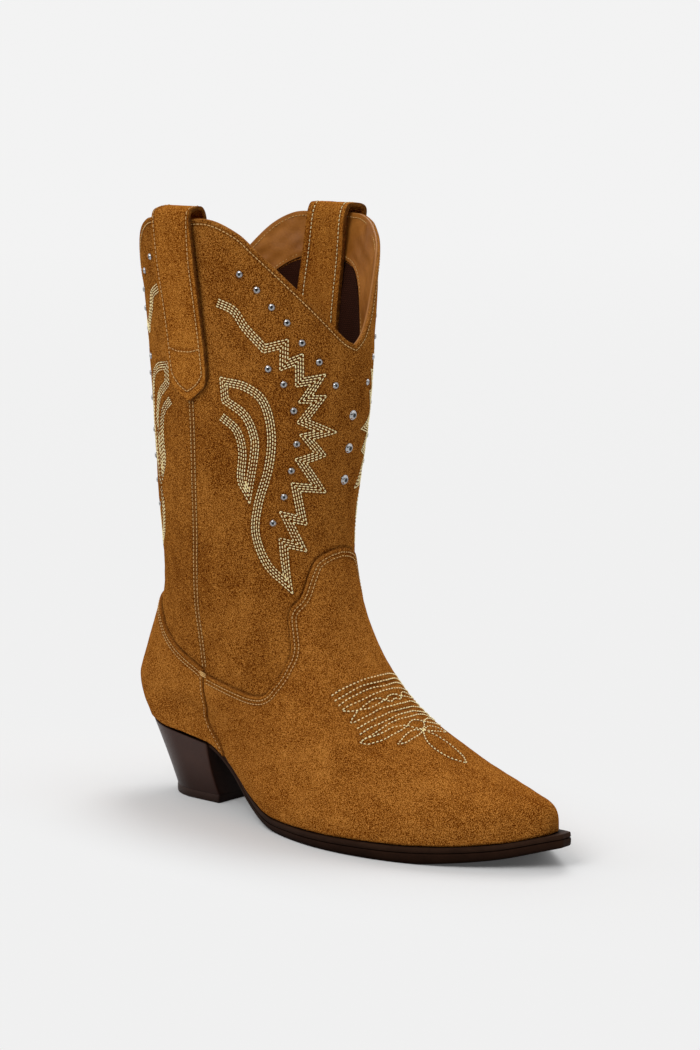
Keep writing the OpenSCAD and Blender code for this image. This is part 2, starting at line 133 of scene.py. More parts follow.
# ---- foot plan and sole, as in the CAD part ----
HEEL_X = -129.0
TOE_X = 131.2
BALL_HALF = 42.5
PLAN = [
    [HEEL_X, 0], [-127, 9.5], [-121, 16.5], [-112, 21], [-102, 23.2], [-93, 24],
    [-85, 24.2], [-77.5, 24.2], [-70, 24.2], [-44, 27], [-12, 35.5], [22, 42],
    [56, BALL_HALF], [86, 35.5], [111, 22], [128.5, 7], [TOE_X, 0],
]
PLAN_STEP = 0.5 / (len(PLAN) - 1)
PLAN_CURVE = (
    [[-PLAN_STEP, PLAN[1][0], -PLAN[1][1]]]
    + [[i * PLAN_STEP, x, half] for i, (x, half) in enumerate(PLAN)]
    + [[0.5 + PLAN_STEP, PLAN[-2][0], -PLAN[-2][1]]]
)
swing = rule([[-150, 0], [-70, 0], [-40, -2.5], [-10, -6], [25, -6.5], [60, -4],
              [100, -1], [133, 0], [150, 0]])


def plan(u):
    return curve(PLAN_CURVE, u)[..., 1:]


def seat_line(x):
    return 42 - 0.115 * (x + 133)


SEAT_X = [-150, -133, -105, -82]
SEAT_DEPTH = 4.9
sole_z = rule([[x, seat_line(x)] for x in SEAT_X]
              + [[-70, 33.6], [-55, 26.3], [-38, 14.8], [-18, 8.8], [5, 8.2], [45, 9],
                 [85, 10.2], [115, 13.2], [135, 17.9], [150, 21.5]])
ground_rule = rule([[x, seat_line(x) - SEAT_DEPTH] for x in SEAT_X]
                   + [[-70, 28.6], [-55, 20.5], [-38, 8.4], [-18, 1.6], [0, 0], [40, 0],
                      [75, 0], [85, 0.4], [115, 4.2], [135, 9.3], [150, 13.5]])


def ground_z(x):
    return np.maximum(ground_rule(x), 0)


# ---- the skin ----
# x back, x front, half width, z back, z front, roundness, share of swing, on the sole line
RINGS = [
    [HEEL_X, TOE_X, 42.2, 0, 0, 0, 1, True],
    [-133.7, TOE_X, 43.2, 8, 8, 0.02, 1, True],
    [-137.5, 125.7, 41.7, 20, 13.4, 0.15, 0.8, True],
    [-136.7, 95.5, 39.7, 66, 34, 0.6, 0.5, False],
    [-129, 51, 36.5, 88, 51, 0.92, 0.2, False],
    [-119, 18.5, 36, 108, 76.5, 1, 0, False],
    [-117, -4.2, 37.5, 130, 116, 1, 0, False],
    [-117.5, -4.5, 43, 160, 160, 1, 0, False],
    [-118.5, 5, 48, 200, 200, 1, 0, False],
    [-120, 8, 50.5, 240, 240, 1, 0, False],
    [-122.3, 6, 55, 280, 280, 1, 0, False],
    [-126.5, 2, 61, 320, 320, 1, 0, False],
]
LAST_RING = len(RINGS) - 1
COLUMNS = 1440
# how far the front corner of the shaft's inner side swells, in mm, at heights
inner_swell = rule([[0, 0], [170, 0], [200, -1.5], [240, -3], [280, 1], [320, 7]])


def ring_points(ring, u):
    x_back, x_front, width, z_back, z_front, roundness, bend, on_sole = ring
    half = fold(u)
    outline = plan(half)
    share = (outline[:, 0] - HEEL_X) / (TOE_X - HEEL_X)
    t = mix(share, (1 - np.cos(2 * np.pi * half)) / 2, roundness)
    w = mix(outline[:, 1] / BALL_HALF, np.sin(2 * np.pi * half), roundness)
    x = mix(x_back, x_front, t)
    y = np.where(u <= 0.5, -1, 1) * width * w + bend * swing(x)
    if not on_sole:
        corner = np.sin(np.pi * np.clip(4 * half - 1, 0, 1))**2
        y = y + np.where(u > 0.5, inner_swell(mix(z_back, z_front, 0.5)) * corner, 0)
    z = mix(z_back, z_front, t)
    if on_sole:
        z = z + sole_z(mix(HEEL_X, TOE_X, t))
    return pack(x, y, z)


def ring_rows():
    rows = [ring_points(ring, np.arange(COLUMNS) / COLUMNS) for ring in RINGS]
    return np.array([2 * rows[0] - rows[1]] + rows + [2 * rows[-1] - rows[-2]])


ROWS = ring_rows()


def wall(u, v):
    """The skin above the sole: a cubic B-spline over the rings."""
    c = (u % 1.0) * COLUMNS
    i = np.floor(c).astype(int) % COLUMNS
    k = (i + 1) % COLUMNS
    across = (c - np.floor(c))[..., None]
    v = np.clip(v, 0, LAST_RING - 1e-6)
    j = np.floor(v).astype(int)
    t = (v - j)[..., None]
    weights = [(1 - t)**3, 3 * t**3 - 6 * t**2 + 4, 3 * t + 3 * t**2 - 3 * t**3 + 1, t**3]
    return sum(w / 6 * mix(ROWS[j + n, i], ROWS[j + n, k], across)
               for n, w in enumerate(weights))


TURNED = np.array([0.93, 0.72])    # shares of the plan's x and half width


def turned(u):
    """Inner edge of the margin that is turned under the insole."""
    p = plan(fold(u)) * TURNED
    x = p[..., 0]
    side = np.where(u % 1.0 <= 0.5, -1, 1)
    return pack(x, side * p[..., 1] + swing(x), sole_z(x))


def skin(u, v):
    u, v = np.broadcast_arrays(np.asarray(u, float), np.asarray(v, float))
    under = np.clip(-v, 0, 1)[..., None]
    return mix(wall(u, v), turned(u), under) if under.any() else wall(u, v)


def skin_normal(u, v):
    du, dv = 0.003, 0.03
    return unit(np.cross(skin(u + du, v) - skin(u - du, v), skin(u, v + dv) - skin(u, v - dv)))


def on_skin(path):
    """Points and outward directions at places on the skin."""
    u, v = path[..., 0], path[..., 1]
    return skin(u, v), skin_normal(u, v)


def v_at(z):
    return 8 + (z - 200) / V_LENGTH


CENTRE_X = HEEL_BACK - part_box("top_lift")[0].x / MM


def to_frame(points):
    return (np.asarray(points, float) - [CENTRE_X, 0, 0]) * MM


# ---- edges of the pieces, v for each u from back to front ----
seam = rule([[0, 0.264], [0.7, 0.263], [1.4, 0.252], [2.3, 0.229], [3.2, 0.21], [4, 0.207],
             [4.8, 0.207], [5.4, 0.211], [6.2, 0.228], [6.6, 0.236], [7.1, 0.2405],
             [8, 0.2425], [9, 0.2405], [11, 0.24]])
counter_edge = folded([[0, 4.95], [0.05, 4.85], [0.105, 4.6], [0.131, 4.34], [0.161, 4.13],
                       [0.192, 4], [0.21, 3.92], [0.3, 3.8]])
vamp_edge = folded([[0.19, 3.83], [0.21, 3.83], [0.254, 3.82], [0.272, 3.85], [0.288, 4],
                    [0.307, 4.38], [0.336, 4.87], [0.359, 5.24], [0.374, 5.71], [0.406, 5.99],
                    [0.425, 6.24], [0.44, 6.41], [0.468, 6.51], [0.5, 6.55]])
facing_edge = folded([[0, 8.5], [0.05, 8.6], [0.1, 9], [0.14, 9.6], [0.175, 9.9], [0.21, 10.05],
                      [0.25, 10.07], [0.29, 10], [0.31, 9.85], [0.325, 9.5], [0.34, 8.9],
                      [0.37, 8.4], [0.42, 8.15], [0.5, 8.1]])
# the top edge, as shares of the way from the dip up to the side
back_scallop = folded([[0, 0], [0.05, 0.22], [0.1, 0.5], [0.126, 0.68], [0.16, 0.9],
                       [0.19, 1.01], [0.215, 1.03], [0.25, 1]])
front_scallop = folded([[0.25, 1], [0.3, 1.02], [0.337, 0.91], [0.36, 0.76], [0.408, 0.45],
                        [0.457, 0.16], [0.48, 0.05], [0.5, 0]])
SIDE_HEIGHT, FRONT_DIP, BACK_DIP = 304, 243, 248
# how much higher the inner side stands in front, in mm
inner_rise = folded([[0.3, 0], [0.34, 3.5], [0.37, 8.5], [0.4, 12], [0.43, 10], [0.465, 3.5],
                     [0.5, 0]])
LAP = 0.4            # how far shaft panels run under the vamp and the counter, in v
BUTT = 0.0006        # half the gap at a side seam, in u


def topline(u):
    back = v_at(mix(BACK_DIP, SIDE_HEIGHT, back_scallop(u)))
    front = v_at(mix(FRONT_DIP, SIDE_HEIGHT, front_scallop(u)))
    rise = np.where(u % 1 > 0.5, inner_rise(u), 0) / V_LENGTH
    return np.where(fold(u) < 0.25, back, front + rise)


def shifted(edge, d):
    return lambda u: edge(u) + d


def level(v):
    return lambda u: np.zeros_like(np.asarray(u, float)) + v


def halves(gap):
    """The left and right limits of the front and of the back, in u."""
    return ((lambda v: seam(v) + gap, lambda v: 1 - seam(v) - gap),
            (lambda v: gap - seam(v), lambda v: seam(v) - gap))


FRONT, BACK = halves(BUTT)
FRONT_INSIDE, BACK_INSIDE = halves(0)


# ---- paths on a surface ----
def reach(points):
    """Distance from the start of a line of points to each of them."""
    return np.concatenate([[0], np.cumsum(np.linalg.norm(np.diff(points, axis=0), axis=1))])


def along(path, step=0.4, surface=on_skin):
    """The same path with a place about every step mm."""
    path = np.asarray(path, float)
    fine = np.concatenate([mix(a, b, np.linspace(0, 1, 12, endpoint=False)[:, None])
                           for a, b in zip(path[:-1], path[1:])] + [path[-1:]])
    s = reach(surface(fine)[0])
    even = np.linspace(0, s[-1], max(2, int(s[-1] / step) + 1))
    return pack(*(np.interp(even, s, fine[:, k]) for k in (0, 1)))


def flowing(points, count=80):
    """Smooth path through a few places."""
    p = np.asarray(points, float)
    s = reach(p * [U_LENGTH, V_LENGTH])
    return curve(np.column_stack([s, p]), np.linspace(0, s[-1], count))[:, 1:]


def sidestep(path, d, surface=on_skin):
    """Places moved by the vectors d, in mm, along the surface."""
    ea, eb = np.array([0.002, 0]), np.array([0, 0.01])
    a = (surface(path + ea)[0] - surface(path - ea)[0]) / 0.004
    b = (surface(path + eb)[0] - surface(path - eb)[0]) / 0.02
    aa, ab, bb, da, db = (dot(p, q)[:, 0] for p, q in ((a, a), (a, b), (b, b), (d, a), (d, b)))
    size = aa * bb - ab**2
    return path + pack((da * bb - db * ab) / size, (db * aa - da * ab) / size)


def beside(path, d, surface=on_skin, longest=3.2):
    """The path moved d mm to its left, with pointed corners."""
    path = np.asarray(path, float)
    p, n = surface(path)
    way = unit(np.diff(p, axis=0))
    left_in = unit(np.cross(n, np.concatenate([way[:1], way])))
    left_out = unit(np.cross(n, np.concatenate([way, way[-1:]])))
    corner = (left_in + left_out) / np.maximum(1 + dot(left_in, left_out), 0.15)
    size = np.linalg.norm(corner, axis=1, keepdims=True)
    corner = corner * np.minimum(1, longest / size)
    return sidestep(path, corner * d, surface)


def edge_path(edge, start, end, count=500):
    u = np.linspace(start, end, count)
    return pack(u, edge(u))


def seam_path(low, high, count=200):
    v = np.linspace(low, high, count)
    return pack(seam(v), v)


def mirrored(path):
    return np.asarray(path, float) * [-1, 1] + [1, 0]


def on_back(path):
    """A path of the front's outer half, on the back's outer half, where it sits higher."""
    return np.asarray(path, float) * [-1, 1] + [0.488, 0.14]


# ---- meshes ----
FAR = 99.0           # a distance at which a line has no effect
PULL_DEPTH, PULL_WIDTH = 0.2, 0.75    # of the groove that stitches pull into leather
RIDGE = 0.08         # how much the leather rises beside that groove
LAP_WIDTH = 2.6      # how far from a side seam the faces of the foot pieces slope


def new_object(name, points, quads, material, smooth=180):
    """An object from points in mm and faces of four corners."""
    points = to_frame(points).astype(np.float32)
    quads = np.asarray(quads, np.int32)
    mesh = bpy.data.meshes.new(name)
    mesh.vertices.add(len(points))
    mesh.vertices.foreach_set("co", points.ravel())
    mesh.loops.add(quads.size)
    mesh.loops.foreach_set("vertex_index", quads.ravel())
    mesh.polygons.add(len(quads))
    mesh.polygons.foreach_set("loop_start", np.arange(0, quads.size, 4, dtype=np.int32))
    mesh.polygons.foreach_set("use_smooth", np.ones(len(quads), bool))
    mesh.update(calc_edges=True)
    mesh.validate()
    if smooth < 180:
        mesh.set_sharp_from_angle(angle=np.radians(smooth))
    mesh.materials.append(material)
    obj = bpy.data.objects.new(name, mesh)
    bpy.context.scene.collection.objects.link(obj)
    return obj


def give(obj, name, values):
    """A number at every vertex, for the material to read."""
    data = obj.data.attributes.new(name, "FLOAT", "POINT")
    data.data.foreach_set("value", np.asarray(values, np.float32).ravel())


def placed(obj, slot, *nodes):
    """Rides on the boot and stands for CAD nodes, which it hides. The slot is not used."""
    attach(obj, "root")
    if nodes:
        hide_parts(*nodes)
    return obj


def grid_quads(n, m, start=0, flip=False):
    """Faces of a grid of n by m points."""
    a = (np.arange(n - 1)[:, None] * m + np.arange(m - 1)).ravel() + start
    q = pack(a, a + m, a + m + 1, a + 1)
    return q[:, ::-1] if flip else q


def tube_quads(stations, sides):
    """Faces of a tube of so many rings, each with so many points."""
    ring, j = np.arange(stations - 1)[:, None] * sides, np.arange(sides)
    a, b = (ring + j).ravel(), (ring + (j + 1) % sides).ravel()
    return pack(a, b, b + sides, a + sides)


def copied(one, size, count):
    """The faces of one piece of size points, for count such pieces."""
    return (np.arange(count)[:, None, None] * size + one).reshape(-1, 4)


def shell_quads(n, m):
    """Faces of a closed sheet: the low grid first, then the high one."""
    half = n * m
    index = np.arange(half).reshape(n, m)
    rim = np.concatenate([index[:, 0], index[-1, 1:], index[-2::-1, -1], index[0, -2:0:-1]])
    after = np.roll(rim, -1)
    walls = pack(rim, after, after + half, rim + half)
    return np.concatenate([grid_quads(n, m, flip=True), grid_quads(n, m, half), walls])


def clearance(points, lines):
    """Distance from each point to the nearest point of any line."""
    if not lines:
        return np.full(len(points), FAR)
    targets = np.concatenate(lines)
    tree = kdtree.KDTree(len(targets))
    for i, p in enumerate(targets):
        tree.insert(p, i)
    tree.balance()
    return np.array([tree.find(p)[2] for p in points])


def finer(line, times=8):
    parts = [mix(line[:-1], line[1:], k / times) for k in range(times)]
    return np.concatenate(parts + [line[-1:]])


def traced(paths, surface):
    return [surface(along(path, 0.5, surface))[0] for path in paths]


def graded(length, cell):
    """Shares from 0 to 1 along length mm, with finer steps near both ends."""
    near = np.array([0, 0.12, 0.3, 0.55, 0.9, 1.4, 2.0, 2.7, 3.5])
    middle = np.linspace(4.4, length - 4.4, max(2, int((length - 8.8) / cell)))
    return np.concatenate([near, middle, length - near[::-1]]) / length


def places(s, t, sides, low, high):
    """Grid of places between two seams and two edges, at shares s across and t up."""
    left, right = sides
    foot = left(3.0)
    h = mix(low(foot), high(foot), t)
    u = mix(left(h), right(h), s[:, None])
    return pack(u, mix(low(u), high(u), t))


def sheet(name, grid, low, high, material, seams=(), edges="lrbt", surface=on_skin,
          inner=False, soft=0.12, edge_round=0.4, lapped=0.0, painted_shadow_lines=(), seed=1):
    """A closed sheet between two depths, with rounded cut edges and stitches that pull in.

    edges says which sides of the grid are cut edges: left, right, bottom and top.
    inner says that the side towards the foot is the one that shows.
    lapped raises or lowers the face beside the left and right edges.
    The shadow lines are where something lies on the sheet; its shadow there is painted into the
    sheet's colour.
    """
    n, m = grid.shape[:2]
    p, up = surface(grid)
    lines = {"l": p[0], "r": p[-1], "b": p[:, 0], "t": p[:, -1]}
    flat = p.reshape(-1, 3)
    rim = clearance(flat, [finer(lines[k]) for k in edges])
    pull = clearance(flat, traced(seams, surface))
    # closeness to the lines where a shadow is painted into the colour
    painted_shadow = clearance(flat, traced(painted_shadow_lines, surface))
    inside = np.clip(1 - rim / edge_round, 0, 1)
    relief = -edge_round * (1 - np.sqrt(np.maximum(1 - inside**2, 0)))
    relief -= (PULL_DEPTH + 0.1 * waves(flat, 1.6, seed + 5)) * fading(pull, PULL_WIDTH)
    relief += RIDGE * fading(pull - 2 * PULL_WIDTH, 0.6)
    if lapped:
        side = clearance(flat, [finer(lines["l"]), finer(lines["r"])])
        relief += lapped * fading(side, LAP_WIDTH)
    calm = np.clip(rim / 3, 0, 1)
    relief += soft * calm * (waves(flat, 14, seed) + 0.5 * waves(flat, 5, seed + 9))
    relief = relief.reshape(n, m, 1)
    low, high = (low - relief, high) if inner else (low, high + relief)
    points = np.concatenate([(p + depth * up).reshape(-1, 3) for depth in (low, high)])
    obj = new_object(name, points, shell_quads(n, m), material, smooth=50)
    # marks for the material: the cut edges, the stitch grooves and the lines of painted shadow
    for mark, strength in (("cut", fading(rim, 0.32)), ("pull", fading(pull, 0.8)),
                           ("painted_shadow", fading(painted_shadow, 0.5))):
        give(obj, mark, np.tile(strength, 2))
    return obj


# ---- thread ----
STITCH_ALONG = np.array([-1, -0.8, -0.4, 0, 0.4, 0.8, 1])
STITCH_RISE = np.array([-1.3, -0.3, 0.4, 0.6, 0.4, -0.3, -1.3])
STITCH_GIRTH = np.array([0.45, 0.85, 1, 1, 1, 0.85, 0.45])
AROUND = 6


def stitches(path, pitch, share=0.76, corners=False, surface=on_skin, depth=0.0):
    """Points and directions of the stitches along a path, a whole number on each run."""
    path = np.asarray(path, float)
    runs = [path[i:i + 2] for i in range(len(path) - 1)] if corners else [path]
    spots = []
    for run in runs:
        dense = along(run, 0.4, surface)
        s = reach(surface(dense)[0])
        count = max(1, round(s[-1] / pitch))
        middle = (np.arange(count) + 0.5) * s[-1] / count
        at = middle[:, None] + share * s[-1] / count / 2 * STITCH_ALONG
        spots.append(pack(*(np.interp(at, s, dense[:, k]) for k in (0, 1))))
    p, n = surface(np.concatenate(spots))
    return p + n * depth, n


def thread(name, groups, material, width=0.29, height=0.22):
    """One object of many stitches, each a short rounded strand that dips at both ends."""
    p = np.concatenate([g[0] for g in groups])
    n = np.concatenate([g[1] for g in groups])
    way = unit(np.gradient(p, axis=1))
    side = unit(np.cross(n, way))
    centre = p + n * (height * STITCH_RISE)[:, None]
    turn = np.arange(AROUND) * 2 * np.pi / AROUND
    girth = STITCH_GIRTH[:, None, None]
    ring = (side[:, :, None] * np.cos(turn)[:, None] * width
            + n[:, :, None] * np.sin(turn)[:, None] * height) * girth
    points = centre[:, :, None] + ring
    stations = len(STITCH_ALONG)
    tube = tube_quads(stations, AROUND)
    last = (stations - 1) * AROUND
    caps = np.array([[3, 2, 1, 0], [5, 4, 3, 0],
                     [last, last + 1, last + 2, last + 3], [last, last + 3, last + 4, last + 5]])
    quads = copied(np.concatenate([tube, caps]), stations * AROUND, len(p))
    obj = new_object(name, points.reshape(-1, 3), quads, material)
    length = np.tile(np.repeat(STITCH_ALONG, AROUND), len(p))
    give(obj, "strand", length + np.tile(np.tile(turn, stations), len(p)) * 0.16)
    return obj


# ---- materials ----
def tree_of(name):
    material = bpy.data.materials.new(name)
    material.use_nodes = True
    tree = material.node_tree
    tree.nodes.clear()
    return material, tree


def node(tree, kind, inputs=None, **settings):
    n = tree.nodes.new("ShaderNode" + kind)
    for key, value in settings.items():
        setattr(n, key, value)
    for key, value in (inputs or {}).items():
        if isinstance(value, bpy.types.NodeSocket):
            tree.links.new(value, n.inputs[key])
        else:
            n.inputs[key].default_value = value
    return n


def place_of(tree, stretch=(1, 1, 1)):
    coord = node(tree, "TexCoord").outputs["Object"]
    return node(tree, "Mapping", {"Vector": coord, "Scale": stretch}).outputs["Vector"]


def noise(tree, size, detail=2.0, roughness=0.5, stretch=(1, 1, 1), distortion=0.0):
    """Noise with features about size mm across."""
    return node(tree, "TexNoise", {
        "Vector": place_of(tree, stretch), "Scale": 1 / (size * MM), "Detail": detail,
        "Roughness": roughness, "Distortion": distortion}).outputs["Fac"]


def math(tree, operation, a, b=0.0):
    return node(tree, "Math", {0: a, 1: b}, operation=operation).outputs[0]


def times(tree, a, b):
    return math(tree, "MULTIPLY", a, b)


def plus(tree, a, b):
    return math(tree, "ADD", a, b)


def spread(tree, value, low, high, to_low=0.0, to_high=1.0, kind="LINEAR"):
    return node(tree, "MapRange", {"Value": value, "From Min": low, "From Max": high,
                                   "To Min": to_low, "To Max": to_high},
                interpolation_type=kind).outputs["Result"]


def vector_math(tree, operation, *vectors):
    return node(tree, "VectorMath", dict(enumerate(vectors)),
                operation=operation).outputs["Value"]


def ramp(tree, value, *stops):
    n = node(tree, "ValToRGB", {"Fac": value})
    elements = n.color_ramp.elements
    for place, colour in stops[2:]:
        elements.new(place)
    for element, (place, colour) in zip(elements, sorted(stops)):
        element.position = place
        element.color = (*colour, 1)
    return n.outputs["Color"]


def blended(tree, share, a, b, blend_type="MIX"):
    a, b = (c if isinstance(c, bpy.types.NodeSocket) else (*c, 1) for c in (a, b))
    return node(tree, "Mix", {0: share, 6: a, 7: b}, data_type="RGBA",
                blend_type=blend_type).outputs[2]


def attribute(tree, name):
    return node(tree, "Attribute", attribute_name=name).outputs["Fac"]


def bump(tree, height, depth, strength=1.0, normal=None):
    """Bump of depth mm."""
    inputs = {"Height": height, "Distance": depth * MM, "Strength": strength}
    if normal is not None:
        inputs["Normal"] = normal
    return node(tree, "Bump", inputs).outputs["Normal"]


def finish_material(material, tree, inputs):
    shader = node(tree, "BsdfPrincipled", inputs)
    output = node(tree, "OutputMaterial")
    tree.links.new(shader.outputs[0], output.inputs[0])
    return material


def suede(name, dark, middle, light, edge, lie=(1, 1, 0.6), raw_edge_and_shade_strength=0.5):
    """Napped leather: cloudy where the nap lies differently, and finely speckled."""
    material, tree = tree_of(name)
    cloud = noise(tree, 26, 3, 0.55, lie, 0.6)
    brushed = noise(tree, 7, 3, 0.6, lie, 0.8)
    nap = noise(tree, 1.4, 2, 0.6)
    speck = noise(tree, 0.43, 1, 0.6)
    tone = times(tree, math(tree, "SUBTRACT", cloud, 0.5), 0.7)
    for value, share in ((brushed, 0.5), (nap, 0.3), (speck, 3.9)):
        tone = plus(tree, tone, times(tree, math(tree, "SUBTRACT", value, 0.5), share))
    tone = plus(tree, tone, 0.5)
    colour = ramp(tree, tone, (0.08, dark), (0.92, light), (0.5, middle))
    # darker along the stitch grooves: partly the leather's own pressed colour at the needle holes,
    # partly painted shade in the grooves
    colour = blended(tree, times(tree, attribute(tree, "pull"), 0.7), colour, dark)
    # painted shadow: darkened towards 0.3 of the dark tone beside the vamp's and counter's edges,
    # the straps and round the studs
    colour = blended(tree, times(tree, attribute(tree, "painted_shadow"), 0.8), colour,
                     [0.3 * c for c in dark])
    # the cut edges blend towards the edge colour in patches: on the shaft a lighter raw edge, on
    # the foot pieces and the straps a dark colour that is painted shade of the gap beside the edge
    wear_and_shade_patches = spread(tree, noise(tree, 3, 2, 0.5), 0.3, 0.6, 0.55, 1.0)
    raw_edge_and_shade = times(tree, attribute(tree, "cut"), times(tree, wear_and_shade_patches, raw_edge_and_shade_strength))
    colour = blended(tree, raw_edge_and_shade, colour, edge)
    fine = bump(tree, speck, 0.4, 0.9)
    normal = bump(tree, nap, 0.35, 0.5, fine)
    return finish_material(material, tree, {
        "Base Color": colour, "Roughness": 0.92, "Normal": normal,
        "Specular IOR Level": 0.0, "Sheen Weight": 0.03, "Sheen Roughness": 0.4,
        "Sheen Tint": (*[min(1, 1.6 * c) for c in light], 1)})


def smooth_leather(name, dark, light, edge, roughness=0.5):
    """Lining leather with a fine pebbled grain."""
    material, tree = tree_of(name)
    cloud = noise(tree, 20, 3, 0.5, distortion=0.4)
    pores = node(tree, "TexVoronoi", {"Vector": place_of(tree), "Scale": 1100},
                 feature="F1").outputs["Distance"]
    tone = plus(tree, cloud, times(tree, noise(tree, 1.2, 3), 0.25))
    colour = ramp(tree, tone, (0.35, dark), (0.85, light))
    colour = blended(tree, times(tree, attribute(tree, "cut"), 0.8), colour, edge)
    return finish_material(material, tree, {
        "Base Color": colour, "Normal": bump(tree, pores, 0.1, 0.6),
        "Roughness": spread(tree, cloud, 0.3, 0.7, roughness - 0.08, roughness + 0.1),
        "Specular IOR Level": 0.15})


def textile(name, dark, light):
    """Twill lining."""
    material, tree = tree_of(name)
    rows = node(tree, "TexWave", {"Vector": place_of(tree), "Scale": 420, "Distortion": 0.4},
                bands_direction="DIAGONAL").outputs["Fac"]
    cross = node(tree, "TexWave", {"Vector": place_of(tree), "Scale": 300, "Distortion": 0.4},
                 bands_direction="Z").outputs["Fac"]
    weave = times(tree, rows, cross)
    tone = plus(tree, times(tree, weave, 0.5), times(tree, noise(tree, 0.6, 3), 0.6))
    return finish_material(material, tree, {
        "Base Color": ramp(tree, tone, (0.2, dark), (0.9, light)), "Roughness": 0.9,
        "Normal": bump(tree, weave, 0.25, 0.7), "Specular IOR Level": 0.02,
        "Sheen Weight": 0.01})


def cotton(name, shade, bright):
    """Twisted thread with a slight shine."""
    material, tree = tree_of(name)
    twist = math(tree, "SINE", times(tree, attribute(tree, "strand"), 14.0))
    twist = spread(tree, twist, -1, 1)
    tone = plus(tree, times(tree, twist, 0.35), noise(tree, 2.5, 3))
    return finish_material(material, tree, {
        "Base Color": ramp(tree, tone, (0.3, shade), (0.75, bright)), "Roughness": 0.6,
        "Normal": bump(tree, twist, 0.08, 0.6), "Specular IOR Level": 0.08})


def painted_edge(name, dark, light, roughness=0.5, shine=0.12, brushed=(1, 1, 9)):
    """Trimmed and painted leather, with fine lines along the trimming and painted shade in its
    hollows.
    """
    material, tree = tree_of(name)
    lines = noise(tree, 2.2, 4, 0.7, brushed)
    tone = plus(tree, times(tree, lines, 0.6), times(tree, noise(tree, 12, 3), 0.5))
    scuffs = spread(tree, noise(tree, 5, 5, 0.75, (0.3, 0.3, 1)), 0.62, 0.74, 0, 0.3)
    colour = ramp(tree, tone, (0.35, dark), (0.75, light))
    colour = blended(tree, scuffs, colour, [min(1, 2 * c) for c in light])
    # painted shade: colour and shine are darkened where the AO node finds the surface hemmed in,
    # as on the heel's breast and under the arch
    open_air = node(tree, "AmbientOcclusion", {"Distance": 35 * MM}).outputs["AO"]
    shade = spread(tree, open_air, 0.25, 0.8, 0.25, 1.0)
    colour = blended(tree, 1.0, colour, node(tree, "CombineColor", {
        0: shade, 1: shade, 2: shade}).outputs[0], "MULTIPLY")
    return finish_material(material, tree, {
        "Base Color": colour, "Specular IOR Level": times(tree, shade, shine),
        "Roughness": spread(tree, lines, 0.3, 0.7, roughness - 0.08, roughness + 0.12),
        "Normal": bump(tree, lines, 0.12, 0.5)})


def metal(name, colour, roughness=0.14):
    material, tree = tree_of(name)
    spots = noise(tree, 1.3, 4, 0.6)
    tone = ramp(tree, spots, (0.3, [0.8 * c for c in colour]), (0.7, colour))
    # painted reflection: the studs' middles are darkened to 0.08 of the steel's colour, for the
    # dark room mirrored there
    tone = blended(tree, attribute(tree, "painted_reflection"), tone, [0.08 * c for c in colour])
    return finish_material(material, tree, {
        "Base Color": tone, "Metallic": 1.0,
        "Roughness": spread(tree, spots, 0.3, 0.75, roughness, roughness + 0.12),
        "Normal": bump(tree, noise(tree, 0.5, 2), 0.02, 0.3)})


def board(name, dark, light, grain=1.0):
    """Pressed board, cork and the like."""
    material, tree = tree_of(name)
    crumbs = node(tree, "TexVoronoi", {"Vector": place_of(tree), "Scale": 700 / grain},
                  feature="F1").outputs["Distance"]
    tone = plus(tree, times(tree, crumbs, 0.6), noise(tree, grain, 4, 0.7))
    return finish_material(material, tree, {
        "Base Color": ramp(tree, tone, (0.4, dark), (0.95, light)), "Roughness": 0.9,
        "Normal": bump(tree, crumbs, 0.3, 0.6)})


RAW_EDGE = (0.34, 0.14, 0.035)
shaft_suede = suede("shaft_suede", (0.065, 0.012, 0.001), (0.215, 0.066, 0.006),
                    (0.46, 0.19, 0.036), RAW_EDGE)
# the foot's and the straps' edge colours are dark: painted shade of the gaps beside their cut
# edges
foot_suede = suede("foot_suede", (0.085, 0.016, 0.001), (0.255, 0.081, 0.008),
                   (0.52, 0.215, 0.042), (0.17, 0.062, 0.012), (0.6, 1, 1))
strap_suede = suede("strap_suede", (0.10, 0.018, 0.001), (0.28, 0.090, 0.009),
                    (0.54, 0.225, 0.040), (0.06, 0.022, 0.006), (1, 1, 0.4), 0.85)
facing_leather = smooth_leather("facing_leather", (0.21, 0.066, 0.007),
                                (0.41, 0.155, 0.024), RAW_EDGE)
lining_textile = textile("lining_textile", (0.014, 0.004, 0.002), (0.058, 0.019, 0.010))
cream_thread = cotton("cream_thread", (0.86, 0.56, 0.20), (1.0, 0.90, 0.52))
tan_thread = cotton("tan_thread", (0.38, 0.18, 0.04), (0.76, 0.47, 0.18))
sole_edge_paint = painted_edge("sole_edge_paint", (0.012, 0.0045, 0.002),
                               (0.030, 0.012, 0.006), 0.6, 0.06)
welt_paint = painted_edge("welt_paint", (0.017, 0.007, 0.004), (0.042, 0.019, 0.010), 0.6, 0.06)
heel_paint = painted_edge("heel_paint", (0.028, 0.009, 0.005), (0.046, 0.017, 0.010), 0.35, 0.22,
                          (6, 6, 0.5))
lift_rubber = painted_edge("lift_rubber", (0.024, 0.009, 0.005), (0.042, 0.019, 0.012), 0.5, 0.2)
steel = metal("steel", (0.62, 0.62, 0.62), 0.12)
board_fibre = board("board_fibre", (0.30, 0.20, 0.10), (0.52, 0.38, 0.22))
cork_crumb = board("cork_crumb", (0.16, 0.08, 0.035), (0.45, 0.27, 0.12), 2.5)

# ---- stitching ----
ROW_COUNT, ROW_GAP = 4, 1.24    # the rows of the embroidery and the gap between them
EDGE_ROWS = (2.0, 4.0)     # from the edges of the vamp and the counter
TOP_ROW = 2.5        # from the top edge
SIDE_ROW = 1.25      # from the side seam
OVER = 1.5           # height of the vamp's and counter's face above the skin

